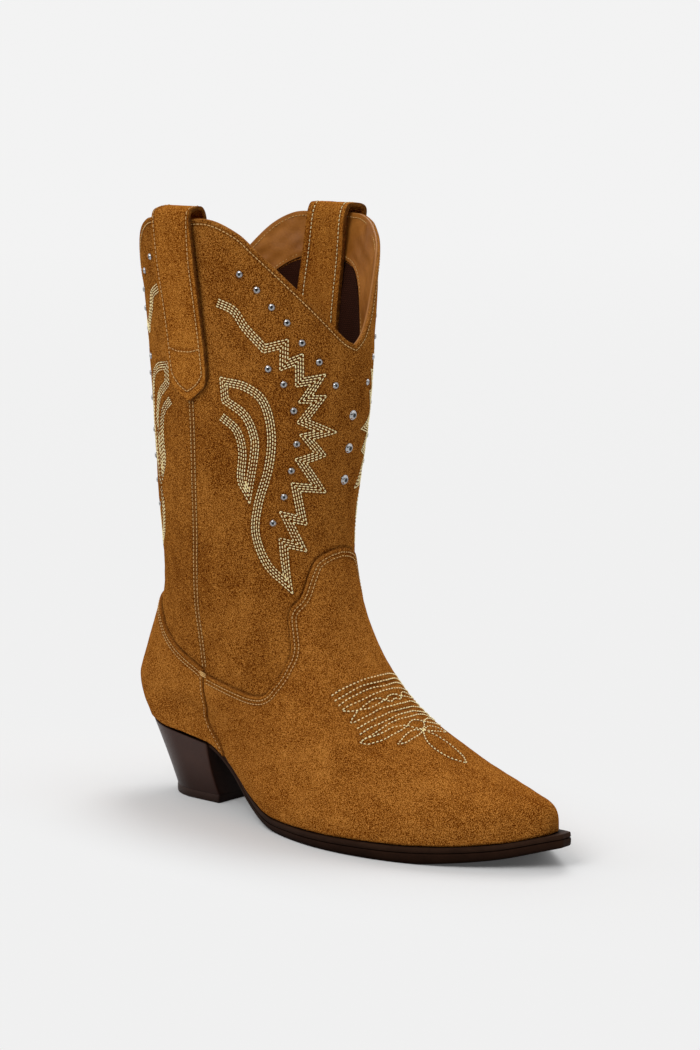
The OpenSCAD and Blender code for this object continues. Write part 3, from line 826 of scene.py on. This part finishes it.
ZIGZAG = [[0.391, 6], [0.380, 6.69], [0.427, 6.53], [0.381, 7.02], [0.428, 6.85], [0.398, 7.38],
          [0.461, 7.24], [0.401, 7.68], [0.453, 7.71], [0.405, 7.99], [0.469, 8], [0.400, 8.14],
          [0.445, 8.47], [0.401, 8.39], [0.443, 8.74], [0.397, 8.59], [0.408, 9], [0.375, 8.79],
          [0.388, 9.18], [0.353, 9.01]]
ZIGZAG_TOP = [[0.353, 9.01], [0.331, 9.32], [0.318, 9.52], [0.296, 9.62]]
OUTER_SCROLL = [[0.391, 6], [0.358, 6.33], [0.343, 6.71], [0.348, 7.09], [0.362, 7.55],
                [0.364, 8], [0.351, 8.41], [0.327, 8.58], [0.291, 8.69]]
SCROLL_NECK = [[0.291, 8.69], [0.293, 8.38]]
INNER_SCROLL = [[0.293, 8.38], [0.326, 8.22], [0.340, 7.93], [0.340, 7.7],
                [0.334, 7.32], [0.335, 7.1]]
SMALL_SCROLL = [[0.291, 8.2], [0.314, 8.03], [0.323, 7.77], [0.322, 7.4], [0.335, 7.1]]


def joined(runs):
    """One path through all runs, and where each run starts and ends in it."""
    parts = [runs[0]] + [r[1:] for r in runs[1:]]
    ends = np.cumsum([0] + [len(r) - 1 for r in runs])
    return np.concatenate(parts), ends


def drawn_in(runs, reach_out):
    """Runs whose corners are moved in so that the outermost rows touch the given tips."""
    runs = [np.asarray(r, float) for r in runs]
    tips = [r[-1].copy() for r in runs[:-1]]
    for _ in range(8):
        path, ends = joined([r if len(r) == 2 else flowing(r) for r in runs])
        leftward, rightward = beside(path, reach_out), beside(path, -reach_out)
        for k, tip in enumerate(tips):
            at = ends[k + 1]
            (ax, ay), (bx, by) = path[at] - path[at - 1], path[at + 1] - path[at]
            outer = rightward[at] if ax * by > ay * bx else leftward[at]
            moved = runs[k][-1] + 0.7 * (tip - outer)
            runs[k][-1] = moved
            runs[k + 1][0] = moved
    return [r if len(r) == 2 else flowing(r) for r in runs]


def embroidery():
    """The four rows of the front's outer half, each cut into runs at its sharp corners."""
    zigzag = ZIGZAG[::-1]
    runs = [ZIGZAG_TOP[::-1]] + [zigzag[k:k + 2] for k in range(len(zigzag) - 1)]
    runs += [OUTER_SCROLL, SCROLL_NECK, INNER_SCROLL, SMALL_SCROLL[::-1]]
    half = (ROW_COUNT - 1) / 2 * ROW_GAP
    path, ends = joined(drawn_in(runs, half))
    rows = [beside(path, k * ROW_GAP - half) for k in range(ROW_COUNT)]
    return [row[a:b + 1] for row in rows for a, b in zip(ends[:-1], ends[1:])]


def toe_rows():
    """Rows over the toe, from the outer side to the centre line, all smooth."""
    arcs = [
        [[0.384, 4.54], [0.404, 4.69], [0.433, 4.83], [0.464, 4.92], [0.5, 4.95]],
        [[0.384, 4.45], [0.402, 4.58], [0.425, 4.72], [0.447, 4.81], [0.469, 4.85], [0.5, 4.87]],
        [[0.385, 4.36], [0.405, 4.53], [0.426, 4.65], [0.447, 4.74], [0.47, 4.79], [0.5, 4.8]],
        [[0.387, 4.29], [0.398, 4.39], [0.414, 4.49], [0.434, 4.59], [0.457, 4.68],
         [0.482, 4.73], [0.5, 4.74]],
        [[0.387, 4.28], [0.396, 4.3], [0.413, 4.37], [0.428, 4.48], [0.451, 4.6], [0.466, 4.62],
         [0.474, 4.59], [0.486, 4.64], [0.5, 4.66]],
        [[0.413, 4.37], [0.431, 4.43], [0.452, 4.52], [0.474, 4.59], [0.483, 4.56], [0.5, 4.6]],
        [[0.41, 4.35], [0.395, 4.17], [0.388, 4.05], [0.405, 4.18], [0.423, 4.3], [0.447, 4.43],
         [0.467, 4.48], [0.5, 4.51]],
        [[0.389, 3.93], [0.405, 4.08], [0.426, 4.23], [0.445, 4.32], [0.468, 4.4], [0.5, 4.43]],
        [[0.387, 3.8], [0.406, 4], [0.425, 4.13], [0.446, 4.24], [0.474, 4.34], [0.5, 4.36]],
        [[0.389, 3.71], [0.403, 3.86], [0.422, 4.03], [0.445, 4.18], [0.471, 4.27], [0.5, 4.29]],
        [[0.39, 3.72], [0.382, 3.61], [0.388, 3.6], [0.399, 3.69], [0.412, 3.79], [0.43, 3.93],
         [0.453, 4.06], [0.473, 4.15], [0.488, 4.21], [0.5, 4.23]],
        [[0.383, 3.62], [0.39, 3.73], [0.404, 3.84], [0.422, 3.97], [0.441, 4.09], [0.458, 4.14],
         [0.473, 4.15], [0.484, 4.1], [0.5, 4.06]],
        [[0.5, 4.05], [0.473, 4.06], [0.451, 3.96], [0.434, 3.82], [0.427, 3.75], [0.439, 3.8],
         [0.461, 3.92], [0.5, 4.05]],
        [[0.5, 4.05], [0.483, 3.92], [0.475, 3.78], [0.475, 3.65], [0.481, 3.5], [0.5, 3.36]],
    ]
    return [flowing(a) for a in arcs]


def edge_rows(path):
    return [beside(path, -d) for d in EDGE_ROWS]


front_rows = embroidery()
back_rows = [on_back(r) for r in front_rows]
toe = toe_rows()
front_top_row = beside(edge_path(topline, 0.243, 0.757, 900), -TOP_ROW)
back_top_row = beside(edge_path(topline, -0.238, 0.238, 900), -TOP_ROW)
vamp_rows = edge_rows(edge_path(vamp_edge, 0.2125, 0.7875, 900))
counter_rows = edge_rows(edge_path(counter_edge, -0.205, 0.205, 700))
side_rows = [beside(seam_path(4.0, 10.2), d) for d in (-SIDE_ROW, SIDE_ROW)]
foot_seam_row = beside(seam_path(0.15, 3.75), 1.9)


def both(paths):
    return list(paths) + [mirrored(p) for p in paths]


# ---- places of the studs and straps ----
FRONT_STUDS = [[0.332, 9.97], [0.352, 9.78], [0.369, 9.57], [0.388, 9.38], [0.407, 9.13],
               [0.432, 8.89], [0.46, 8.59], [0.359, 8.81], [0.38, 8.62], [0.395, 8.29],
               [0.402, 7.87], [0.397, 7.53], [0.388, 7.2], [0.371, 6.87]]
BACK_STUDS = [[0.182, 10.14], [0.151, 9.95], [0.127, 9.7], [0.108, 9.45], [0.088, 9.18],
              [0.066, 8.92], [0.04, 8.62], [0.13, 8.85], [0.11, 8.62], [0.1, 8.29],
              [0.096, 7.87], [0.1, 7.53], [0.108, 7.2], [0.122, 6.87]]
CENTRE_STUDS = [8.2, 7.78, 7.38]
STRAP_U = 0.2415
STRAP_HALF_WIDTH = 13.0


# ---- leather of the upper ----
SHAFT_THICK = 1.4


def shaft_panel(name, node_name, sides, low, rows, painted_shadow_lines, seed):
    grid = places(graded(190, 0.95), graded(150, 0.95), sides, shifted(low, -LAP), topline)
    piece = sheet(name, grid, -SHAFT_THICK, 0, shaft_suede, rows, "lrt", edge_round=0.3,
                  painted_shadow_lines=painted_shadow_lines, seed=seed)
    return placed(piece, "suede", node_name)


def with_flange(grid):
    """Rows that turn under the insole, closer together round the feather line."""
    first = grid[:, :1, :1]
    turn = [-1, -0.6, -0.3, -0.12, -0.05, -0.03, -0.02, -0.01, 0, 0.01, 0.02, 0.03]
    rows = [np.concatenate([first, np.full_like(first, v)], -1) for v in turn]
    return np.concatenate(rows + [grid[:, grid[0, :, 1] > 0.05]], 1)


def foot_piece(name, node_name, sides, high, width, height, rows, edges, lapped, seed):
    grid = with_flange(places(graded(width, 1.1), graded(height, 1.0), sides, level(0.0), high))
    piece = sheet(name, grid, 0.1, OVER, foot_suede, rows, edges, lapped=lapped, seed=seed)
    return placed(piece, "suede", node_name)


def stud_rings(spots, radius):
    """Small circles on the skin round the studs."""
    a = np.linspace(0, 2 * np.pi, 9)
    ring = pack(np.cos(a) / U_LENGTH, np.sin(a) / V_LENGTH) * radius
    return [np.array(s) + ring for s in spots]


def beside_strap(side):
    """The line on the outer half that one edge of the strap shades."""
    v = np.linspace(v_at(226), v_at(303), 60)
    return pack(STRAP_U + side * (STRAP_HALF_WIDTH + 0.1) / U_LENGTH + 0 * v, v)


# the last list of each panel holds the lines beside the vamp or counter edge, round the studs and
# beside the strap, where shadow is painted into the suede
shaft_panel("front_shaft", "front_shaft_panel", FRONT, vamp_edge,
            both(front_rows) + [front_top_row] + both([side_rows[0]]),
            [edge_path(shifted(vamp_edge, 0.02), 0.21, 0.79, 900)]
            + both(stud_rings(FRONT_STUDS, 1.75) + [beside_strap(1)]), 3)
shaft_panel("back_shaft", "back_shaft_panel", BACK, counter_edge,
            both(back_rows) + [back_top_row] + both([side_rows[1]]),
            [edge_path(shifted(counter_edge, 0.02), -0.22, 0.22, 600)]
            + both(stud_rings(BACK_STUDS, 1.75) + [beside_strap(-1)]), 5)
foot_piece("vamp_leather", "vamp", FRONT, vamp_edge, 330, 120, vamp_rows + both(toe),
           "t", -0.6, 7)
foot_piece("counter_leather", "heel_counter", BACK, counter_edge, 170, 75,
           counter_rows + both([foot_seam_row]), "lrt", 0.3, 11)

# ---- linings, seen from the mouth ----
LINE_LOW, LINE_HIGH = -2.4, -1.5
RIM = 0.004          # the facing ends this far under the top edge, in v
GAP = 0.03           # between a lining and what lies above it, in v


FINISHES = {"lining_textile": lining_textile, "facing_leather": facing_leather}


def inner_sheet(name, node_name, sides, low, high, seed, slot="lining_textile", cell=2.2,
                edges=""):
    grid = places(graded(190, cell), graded(90, cell), sides, low, high)
    piece = sheet(name, grid, LINE_LOW, LINE_HIGH, FINISHES[slot], edges=edges, inner=True,
                  edge_round=0.3, soft=0.45, seed=seed)
    return placed(piece, slot, node_name)


under_top, under_facing = shifted(topline, -RIM), shifted(facing_edge, -GAP)
under_vamp, under_counter = shifted(vamp_edge, -GAP), shifted(counter_edge, -GAP)
for part, sides, seed in (("front", FRONT_INSIDE, 13), ("back", BACK_INSIDE, 17)):
    inner_sheet(part + "_facing", part + "_top_facing", sides, facing_edge, under_top, seed,
                "facing_leather", 1.6, "bt")
inner_sheet("front_lining", "front_shaft_lining", FRONT_INSIDE, vamp_edge, under_facing, 19)
inner_sheet("back_lining", "back_shaft_lining", BACK_INSIDE, counter_edge, under_facing, 23)
inner_sheet("foot_lining", "vamp_lining", FRONT_INSIDE, level(0.0), under_vamp, 29)
inner_sheet("heel_pocket", "heel_lining", BACK_INSIDE, level(0.0), under_counter, 31,
            "facing_leather")

# ---- pull straps ----
STRAP_END = 15.6
# distance from the skin and height along the strap, from the outer tip to the inner end
STRAP = [[0, 1, 215], [1, 1, 219], [2, 1.1, 226], [3, 1.5, 250], [4, 1.9, 272], [5, 2.2, 286],
         [6, 2.4, 297], [7, 2.6, 304.5], [7.7, 2.2, 308.2], [8.4, 0.8, 309.6],
         [9.2, -1.7, 309.8], [10, -4.1, 308.8], [10.8, -5.3, 304.5], [11.6, -5.2, 298],
         [12.6, -4.4, 287], [13.6, -3.8, 275], [14.6, -3.6, 260], [15.6, -3.6, 236]]
# how far forward each strap stands, in mm, at heights along it; the outer one first
LEANS = {1: rule([[215, 0], [250, -0.7], [280, -0.2], [295, 1.5], [311, 4.4]]),
         -1: rule([[215, -1], [250, -1], [265, 0.2], [280, 2.4], [295, 4.8], [311, 7.2]])}
HALVES = {1: rule([[0, 0.1], [1, 0.55], [2, 0.98], [3, 1.02], [5, 1.04], [6.5, 0.96], [8, 0.91],
                   [10, 0.95], [12, 1], [16, 1]]),
          -1: rule([[0, 0.1], [1, 0.55], [2, 0.98], [3, 1], [6, 1.04], [8, 1.12], [10, 1.15],
                    [12, 1.14], [16, 1.15]])}
# how much deeper the hidden half of each loop reaches, in mm, along its stations
DEPTHS = {1: rule([[0, 0], [8, 0], [9.2, -3], [10.8, -5], [12.6, -3.6], [14.6, -0.5], [15.6, 0]]),
          -1: rule([[0, 0], [2, 0], [4, 1.2], [6, 3.8], [7, 4.8], [8.4, 3.8], [10, 0.6], [16, 0]])}


def on_strap(side):
    """The middle surface of a strap: places are mm across and the station along it."""
    def point(a, t):
        s = curve(STRAP, t)
        z = s[..., 2]
        u, v = STRAP_U + (a * HALVES[side](t) + LEANS[side](z)) / U_LENGTH, v_at(z)
        stand_off = s[..., 1] + DEPTHS[side](t)
        return (skin(u, v) + skin_normal(u, v) * stand_off[..., None]) * [1, side, 1]

    def surface(path):
        a, t = path[..., 0], path[..., 1]
        across = point(a + 0.5, t) - point(a - 0.5, t)
        onward = point(a, t + 0.05) - point(a, t - 0.05)
        return point(a, t), side * unit(np.cross(across, onward))

    return surface


STRAP_LOW, STRAP_HIGH = -0.8, 1.15    # its two faces, from its middle surface
STITCH_IN = 2.4      # from the strap's edge to its stitches
SEAM_HALF = STRAP_HALF_WIDTH - STITCH_IN


def strap_rows(side):
    """Smooth rows up both edges, and the cornered rows at the tip and across."""
    t = np.linspace(2.15, STRAP_END - 0.3, 300)
    edges = [pack(a / HALVES[side](t), t) for a in (-SEAM_HALF, SEAM_HALF)]
    tip = [edges[0][0], [0, 1.1], edges[1][0]]
    width = SEAM_HALF / HALVES[side](2.66)
    across = [[-width, 2.66], [-4, 2.6], [4, 2.6], [width, 2.66]]
    end = [[-SEAM_HALF, STRAP_END - 0.2], [SEAM_HALF, STRAP_END - 0.2]]
    return edges, [tip, across, end]


def pull_strap(name, node_name, side, seed):
    surface = on_strap(side)
    t = graded(200, 1.0)[None, :] * STRAP_END
    s = graded(27, 0.9)[:, None] * 2 - 1
    grid = pack(s * STRAP_HALF_WIDTH + 0 * t, t + 0 * s)
    edges, cornered = strap_rows(side)
    piece = sheet(name, grid, STRAP_LOW, STRAP_HIGH, strap_suede, edges + cornered[:2], "lrbt",
                  surface, edge_round=0.45, soft=0.15, seed=seed)
    if side < 0:
        piece.data.flip_normals()
    lying = {"surface": surface, "depth": STRAP_HIGH}
    groups = [stitches(e, 2.2, **lying) for e in edges]
    groups += [stitches(c, 2.0, corners=True, **lying) for c in cornered]
    shown = tan_thread if side > 0 else cream_thread
    placed(thread(name + "_thread", groups, shown, 0.26, 0.2), "suede")
    return placed(piece, "suede", node_name)


pull_strap("outer_strap", "outer_pull_strap", 1, 37)
pull_strap("inner_strap", "inner_pull_strap", -1, 41)

# ---- thread on the skin ----
EMBROIDERY_PITCH, SEWING_PITCH, LAP_PITCH = 2.0, 2.1, 1.95
cream = []
for front_row, back_row in zip(front_rows, back_rows):
    cream += [stitches(r, EMBROIDERY_PITCH, depth=-0.06) for r in both([front_row])]
    cream += [stitches(r, EMBROIDERY_PITCH, depth=-0.2) for r in both([back_row])]
placed(thread("shaft_embroidery", cream, cream_thread), "suede")
placed(thread("toe_embroidery", [stitches(r, SEWING_PITCH, 0.64, depth=OVER) for r in both(toe)],
              cream_thread, 0.33, 0.24), "suede")
top_rows = [front_top_row, back_top_row]
construction = [stitches(r, SEWING_PITCH) for r in top_rows + both(side_rows)]
construction += [stitches(r, LAP_PITCH, 0.7, depth=OVER) for r in vamp_rows + counter_rows]
construction += [stitches(r, SEWING_PITCH, depth=OVER) for r in both([foot_seam_row])]
placed(thread("seam_thread", construction, tan_thread, 0.26, 0.2), "suede")


def tack(v):
    """A short stitch across the side seam."""
    return [[seam(v) - 2.0 / U_LENGTH, v + 0.03], [seam(v) + 2.2 / U_LENGTH, v]]


# three on each side, just under the edge of the foot pieces
tacks = [stitches(line, 4.2, 0.95, depth=OVER + 0.15)
         for line in both([tack(3.87 - 0.045 * k) for k in range(3)])]
placed(thread("bar_tacks", tacks, tan_thread, 0.3, 0.24), "suede")


def inside(path):
    p, n = stitches(path, SEWING_PITCH, depth=LINE_LOW)
    return p, -n


facing_rows = [beside(edge_path(facing_edge, 0.257, 0.743, 700), 1.6),
               beside(edge_path(facing_edge, -0.243, 0.243, 700), 1.6)] + top_rows
placed(thread("facing_thread", [inside(r) for r in facing_rows], tan_thread, 0.22, 0.17),
       "facing_leather")

# ---- studs ----
# a stud's outline, as shares of its diameter: a thin rim and a flattened dome
STUD_PROFILE = [[0.5, -0.06], [0.5, 0.03], [0.485, 0.055], [0.455, 0.062], [0.435, 0.07],
                [0.415, 0.12], [0.385, 0.17], [0.34, 0.21], [0.27, 0.235], [0.18, 0.25],
                [0.08, 0.257], [0.012, 0.258]]
DARK_REFLECTION_SHARE = 0.25           # the middle of a stud, as a share of its diameter, whose colour is darkened as a painted reflection of the dark room


def studs(name, node_name, spots, diameter):
    p, n = on_skin(np.array(spots))
    side = unit(np.cross(n, [0.1, 0.2, 1]))
    other = np.cross(n, side)
    sides = 24
    turn = np.arange(sides) * 2 * np.pi / sides
    r, z = np.array(STUD_PROFILE).T * diameter
    around = side[:, None] * np.cos(turn)[:, None] + other[:, None] * np.sin(turn)[:, None]
    points = (p[:, None, None] + n[:, None, None] * z[:, None, None]
              + around[:, None] * r[:, None, None])
    k = np.arange(sides // 2 - 1)
    cap = pack(k, sides - 1 - k, sides - 2 - k, k + 1)
    one = np.concatenate([tube_quads(len(r), sides), cap, cap[:, ::-1] + (len(r) - 1) * sides])
    piece = new_object(name, points.reshape(-1, 3), copied(one, len(r) * sides, len(p)), steel)
    # marks the middles that get the painted dark reflection
    give(piece, "painted_reflection", np.tile(np.repeat(np.array(STUD_PROFILE)[:, 0] < DARK_REFLECTION_SHARE, sides), len(p)))
    return placed(piece, "studs", node_name)


small = FRONT_STUDS + BACK_STUDS
studs("small_domes", "small_studs", small + [[1 - u, v] for u, v in small], 3.2)
studs("large_domes", "large_studs", [[u, v] for v in CENTRE_STUDS for u in (0, 0.5)], 5.0)

# ---- bottom ----
overhang = rule([[0, -1.9], [0.21, -1.9], [0.245, -0.9], [0.28, 0.9], [0.34, 2.6], [0.42, 3.2],
                 [0.465, 4.2], [0.5, 9.5]])
welt_height = rule([[-150, 1], [-80, 1], [-50, 1.4], [-20, 2.6], [150, 2.6]])
TURNED_DEPTH = 1.6
SNIP_U = 0.452       # the sole's sides run straight from here to the snipped toe
SNIP_X = TOE_X + 9.1
SNIP_ROUND = 0.9


def rim(u, d):
    """Plan point moved outwards by d."""
    e = 0.004
    way = unit(plan(np.minimum(u + e, 0.5)) - plan(np.maximum(u - e, 0)))
    out = pack(-way[..., 1], way[..., 0])
    out = np.where((u <= e)[..., None], [-1, 0], out)
    return plan(u) + out * np.asarray(d)[..., None]


def half_outline():
    """x and distance from the centre line along the sole's edge, heel to toe."""
    u = np.linspace(0.0012, SNIP_U, 330)
    side = rim(u, overhang(u))
    way = unit(side[-1:] - side[-4:-3])[0]
    corner = side[-1] + way * (SNIP_X - side[-1][0]) / way[0]
    before = corner - way * SNIP_ROUND
    after = corner - np.array([0, SNIP_ROUND])
    t = np.linspace(0, 1, 7)[:, None]
    fillet = (1 - t)**2 * before + 2 * t * (1 - t) * corner + t**2 * after
    straight = mix(side[-1], before, np.linspace(0, 1, 14)[1:-1, None])
    front = mix(after, np.array([SNIP_X, 0.15]), np.linspace(0, 1, 8)[1:, None])
    line = np.concatenate([side, straight, fillet, front])
    toe_u = mix(SNIP_U, 0.5, np.linspace(0, 1, len(line) - len(u) + 1)[1:])
    return line, np.concatenate([u, toe_u])


edge_line, edge_u = half_outline()
edge_way = unit(np.gradient(edge_line, axis=0))
edge_out = pack(-edge_way[:, 1], edge_way[:, 0])
edge_out[0], edge_out[-1] = [-1, 0], [1, 0]


def loop(half, z, bend=1):
    """Ring of points from one half's x and distance from the centre line."""
    x, w = half[:, 0], np.maximum(half[:, 1], 0.1)
    middle = bend * swing(x)
    return np.concatenate([pack(x, middle - w, z), pack(x, middle + w, z)[::-1]])


def edge_loops(profile, top, low):
    """Loops down the sole's edge, each by how far out, its share of the way and its drop."""
    loops = []
    for out, share, drop in profile:
        half = edge_line + edge_out * out
        x = half[:, 0]
        loops.append(loop(half, mix(top(x), low(x), share) - drop))
    return loops


def loops_object(name, loops, material, ring=False, smooth=42):
    """Closed solid through loops from top to bottom, capped or joined as a ring."""
    count, n = len(loops), len(loops[0])
    j = np.arange(n)
    levels = np.arange(count if ring else count - 1)[:, None] * n
    after = (levels + n) % (count * n)
    k = (j + 1) % n
    sides = pack(levels + j, after + j, after + k, levels + k).reshape(-1, 4)
    i = np.arange(n // 2 - 1)
    cap = pack(i, i + 1, n - 2 - i, n - 1 - i)
    caps = [] if ring else [cap, cap[:, ::-1] + (count - 1) * n]
    quads = np.concatenate([sides] + caps)
    return new_object(name, np.concatenate(loops), quads, material, smooth)


def welt_top(x):
    return sole_z(x) - TURNED_DEPTH


def welt_low(x):
    return welt_top(x) - welt_height(x)


def sole_top(x):
    return welt_low(x) - 0.15


# mm out from the edge line, share of the way down and a further drop in mm
WELT_EDGE = [(-1.2, 0, 0), (-0.55, 0, 0.02), (-0.3, 0, 0.2), (-0.16, 0.35, 0), (-0.05, 0.8, 0),
             (-0.2, 0.95, 0), (-0.55, 1, 0)]
SOLE_EDGE = [(-6, 0, 0), (-0.55, 0, 0), (-0.1, 0.06, 0), (0.05, 0.2, 0), (0.02, 0.55, 0),
             (-0.1, 0.84, 0), (-0.55, 0.97, 0), (-1.2, 1, 0), (-6, 1, 0)]


def welt():
    inner = plan(edge_u) * TURNED
    x = inner[:, 0]
    loops = ([loop(inner, welt_top(x))] + edge_loops(WELT_EDGE, welt_top, welt_low)
             + [loop(inner, welt_low(x))])
    return placed(loops_object("welt_strip", loops, welt_paint, ring=True), "sole", "welt")


def outsole():
    piece = loops_object("leather_sole", edge_loops(SOLE_EDGE, sole_top, ground_z),
                         sole_edge_paint)
    return placed(piece, "sole", "outsole")


BOARD = 2.7          # the insole board's top, above the sole line
CUPPING = 0.35       # how much lower the sock liner's middle is


def footbed():
    """The sock liner: a soft sheet on the insole, a little cupped."""
    u = np.linspace(0.01, 0.49, 120)
    p = rim(u, np.full_like(u, -3.2))
    share = np.linspace(-1, 1, 31)
    x = np.repeat(p[:, :1], len(share), 1)
    y = swing(x) + p[:, 1:] * share
    low = sole_z(x) + BOARD
    top = low + 1.0 - CUPPING * (1 - share**4)
    points = np.concatenate([pack(x, y, z).reshape(-1, 3) for z in (low, top)])
    piece = new_object("footbed", points, shell_quads(*x.shape), facing_leather, 50)
    return placed(piece, "facing_leather", "sock_liner")


welt()
outsole()
footbed()

# ---- heel ----
LIFT = 4.5
# x of the back, x of the breast and half width
HEEL_LOW = (HEEL_BACK, -71, 19)
HEEL_TOP = (-128.4, -75, 24.0)
HEEL_BOW = 1.2       # how far the back and the breast curve in, halfway up


def heel_half(back, breast, half, corner=1.0):
    """Half of the heel's D: straight breast, rounded corner, round back."""
    round_length = (breast - back) * 0.55
    a = np.radians(np.linspace(90, 0.6, 34))
    t = np.linspace(0, 1, 6)
    side = np.linspace(breast - corner, back + round_length, 10)[1:-1]
    front = np.linspace(0.15, half - corner, 7)[:-1]
    return np.concatenate([
        pack(np.full_like(front, breast), front),
        pack(breast - corner * t**2, half - corner * (1 - t)**2),
        pack(side, np.full_like(side, half)),
        pack(back + round_length * (1 - np.cos(a)), half * np.sin(a))])


def heel_loop(t, grow, height):
    """The block's outline at share t up, grown outwards."""
    back, breast, half = (mix(low, top, t) for low, top in zip(HEEL_LOW, HEEL_TOP))
    bow = HEEL_BOW * t * (1 - t) * 4
    outline = heel_half(back + bow - grow, breast - bow + grow, half + grow)
    return loop(outline, height(outline[:, 0]), bend=0)[::-1]


def heel_seat(x):
    """The block's top: the dark gap over it opens towards the breast."""
    return seat_line(x) - mix(1.75, 3.3, np.clip((x + 128) / 53, 0, 1))


def heel_block():
    low, bevel = LIFT + 0.1, 0.35
    loops = [heel_loop(1, -0.9, heel_seat), heel_loop(1, -0.3, heel_seat),
             heel_loop(1, 0, lambda x: heel_seat(x) - bevel)]
    for t in np.linspace(1, 0, 22)[1:]:
        loops.append(heel_loop(t, 0, lambda x, t=t: mix(low, heel_seat(x) - bevel, t)))
    loops.append(heel_loop(0, -0.4, lambda x: low + 0 * x))
    return placed(loops_object("heel_body", loops, heel_paint, smooth=35), "heel", "heel_block")


def heel_lift():
    shape = [(-0.5, LIFT), (-0.15, LIFT - 0.05), (0.18, LIFT - 0.75), (0.18, 1.0),
             (0.05, 0.35), (-0.5, 0.0)]
    loops = [heel_loop(0, grow, lambda x, z=z: z + 0 * x) for grow, z in shape]
    return placed(loops_object("heel_tip", loops, lift_rubber, smooth=35), "top_lift", "top_lift")


heel_block()
heel_lift()

# ---- the inner CAD pieces, which stay ----
CARRIED = {"toe_puff": board_fibre, "heel_stiffener": board_fibre, "insole_board": board_fibre,
           "vamp_interlining": lining_textile, "cork_filler": cork_crumb, "shank": steel,
           "heel_screw": steel, "heel_nails": steel, "top_lift_pins": steel}
for name, material in CARRIED.items():
    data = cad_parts[name].data
    data.materials.clear()
    data.materials.append(material)

# ---- floor, light and camera ----
VIEW_ANGLE = np.radians(48.883)
VIEW_DISTANCE = 1354.93
VIEW_HEIGHT = 356.25
PITCH = np.radians(8.569)
YAW = np.radians(-0.102)
LENS = 62.31
eye = np.array([np.cos(VIEW_ANGLE) * VIEW_DISTANCE, -np.sin(VIEW_ANGLE) * VIEW_DISTANCE,
                VIEW_HEIGHT])
turn = np.pi - VIEW_ANGLE + YAW
flat_ahead = np.array([np.cos(turn), np.sin(turn), 0])
ahead = flat_ahead * np.cos(PITCH) + np.array([0, 0, -np.sin(PITCH)])
right = unit(np.cross(ahead, [0, 0, 1]))
BACKDROP = 0.895     # brightness of the studio wall
FLOOR = 0.68         # the paper's reflectance
FLOOR_HALF = 9000
ROOM = 0.06          # brightness of the room on the near side


def floor():
    """White floor that fades into the wall's brightness far from the boot."""
    corners = np.array([[-1, -1, 0], [1, -1, 0], [1, 1, 0], [-1, 1, 0]]) * FLOOR_HALF
    material, tree = tree_of("floor_white")
    far = vector_math(tree, "LENGTH", node(tree, "TexCoord").outputs["Object"])
    oval = vector_math(tree, "LENGTH", place_of(tree, (0.8, 2, 1)))
    fade = spread(tree, oval, 0.11, 0.27, 0.06, 1.0, "SMOOTHSTEP")
    paper = node(tree, "BsdfPrincipled", {"Base Color": (FLOOR, FLOOR, FLOOR, 1),
                                          "Roughness": 0.9, "Specular IOR Level": 0.1})
    brightness = spread(tree, far, 1, 6, 0.975 * BACKDROP, BACKDROP)
    in_gloss = node(tree, "LightPath").outputs["Is Glossy Ray"]
    brightness = times(tree, brightness, spread(tree, in_gloss, 0, 1, 1, 0.7))
    wall = node(tree, "Emission", {"Color": (1, 1, 1, 1), "Strength": brightness})
    mixed = node(tree, "MixShader", {0: fade, 1: paper.outputs[0], 2: wall.outputs[0]})
    tree.links.new(mixed.outputs[0], node(tree, "OutputMaterial").inputs[0])
    plane = new_object("floor", corners + [0, 0, cad_low.z / MM], [[0, 1, 2, 3]], material)


def aimed(name, data, place, way):
    """An object at a place that looks along way."""
    obj = bpy.data.objects.new(name, data)
    obj.location = to_frame(place)
    obj.rotation_euler = Vector(way).to_track_quat("-Z", "Y").to_euler()
    bpy.context.scene.collection.objects.link(obj)
    return obj


def camera():
    data = bpy.data.cameras.new("camera")
    data.sensor_fit = "VERTICAL"
    data.sensor_height = 24
    data.lens = LENS
    data.clip_start = 0.05
    data.clip_end = 60
    bpy.context.scene.camera = aimed("camera", data, eye, ahead)


def softbox(name, place, size, power):
    """A round light of size metres that looks at the boot."""
    data = bpy.data.lights.new(name, "AREA")
    data.shape = "DISK"
    data.size = size
    data.energy = power
    aimed(name, data, place, np.array([0, 0, 120]) - place)


def studio():
    """Bright behind the boot, beside it and overhead, and dark low down on the near side."""
    world = bpy.data.worlds.new("studio")
    bpy.context.scene.world = world
    world.use_nodes = True
    tree = world.node_tree
    tree.nodes.clear()
    way = node(tree, "TexCoord").outputs["Generated"]
    onward = vector_math(tree, "DOT_PRODUCT", way, flat_ahead + [0, 0, 1.2])
    lit = spread(tree, onward, -0.45, 0.5, ROOM, BACKDROP, "SMOOTHSTEP")
    seen = node(tree, "LightPath").outputs["Is Camera Ray"]
    strength = node(tree, "Mix", {"Factor": seen, "A": lit, "B": BACKDROP}).outputs[0]
    background = node(tree, "Background", {"Color": (1, 1, 1, 1), "Strength": strength})
    tree.links.new(background.outputs[0], node(tree, "OutputWorld").inputs[0])


floor()
camera()
studio()
up = np.array([0, 0, 1])
softbox("key", right * 350 + flat_ahead * 1100 + up * 1600, 1.0, 13)
softbox("fill", -right * 900 - flat_ahead * 1100 + up * 1500, 1.3, 17.5)
bpy.context.scene.view_settings.view_transform = "Standard"
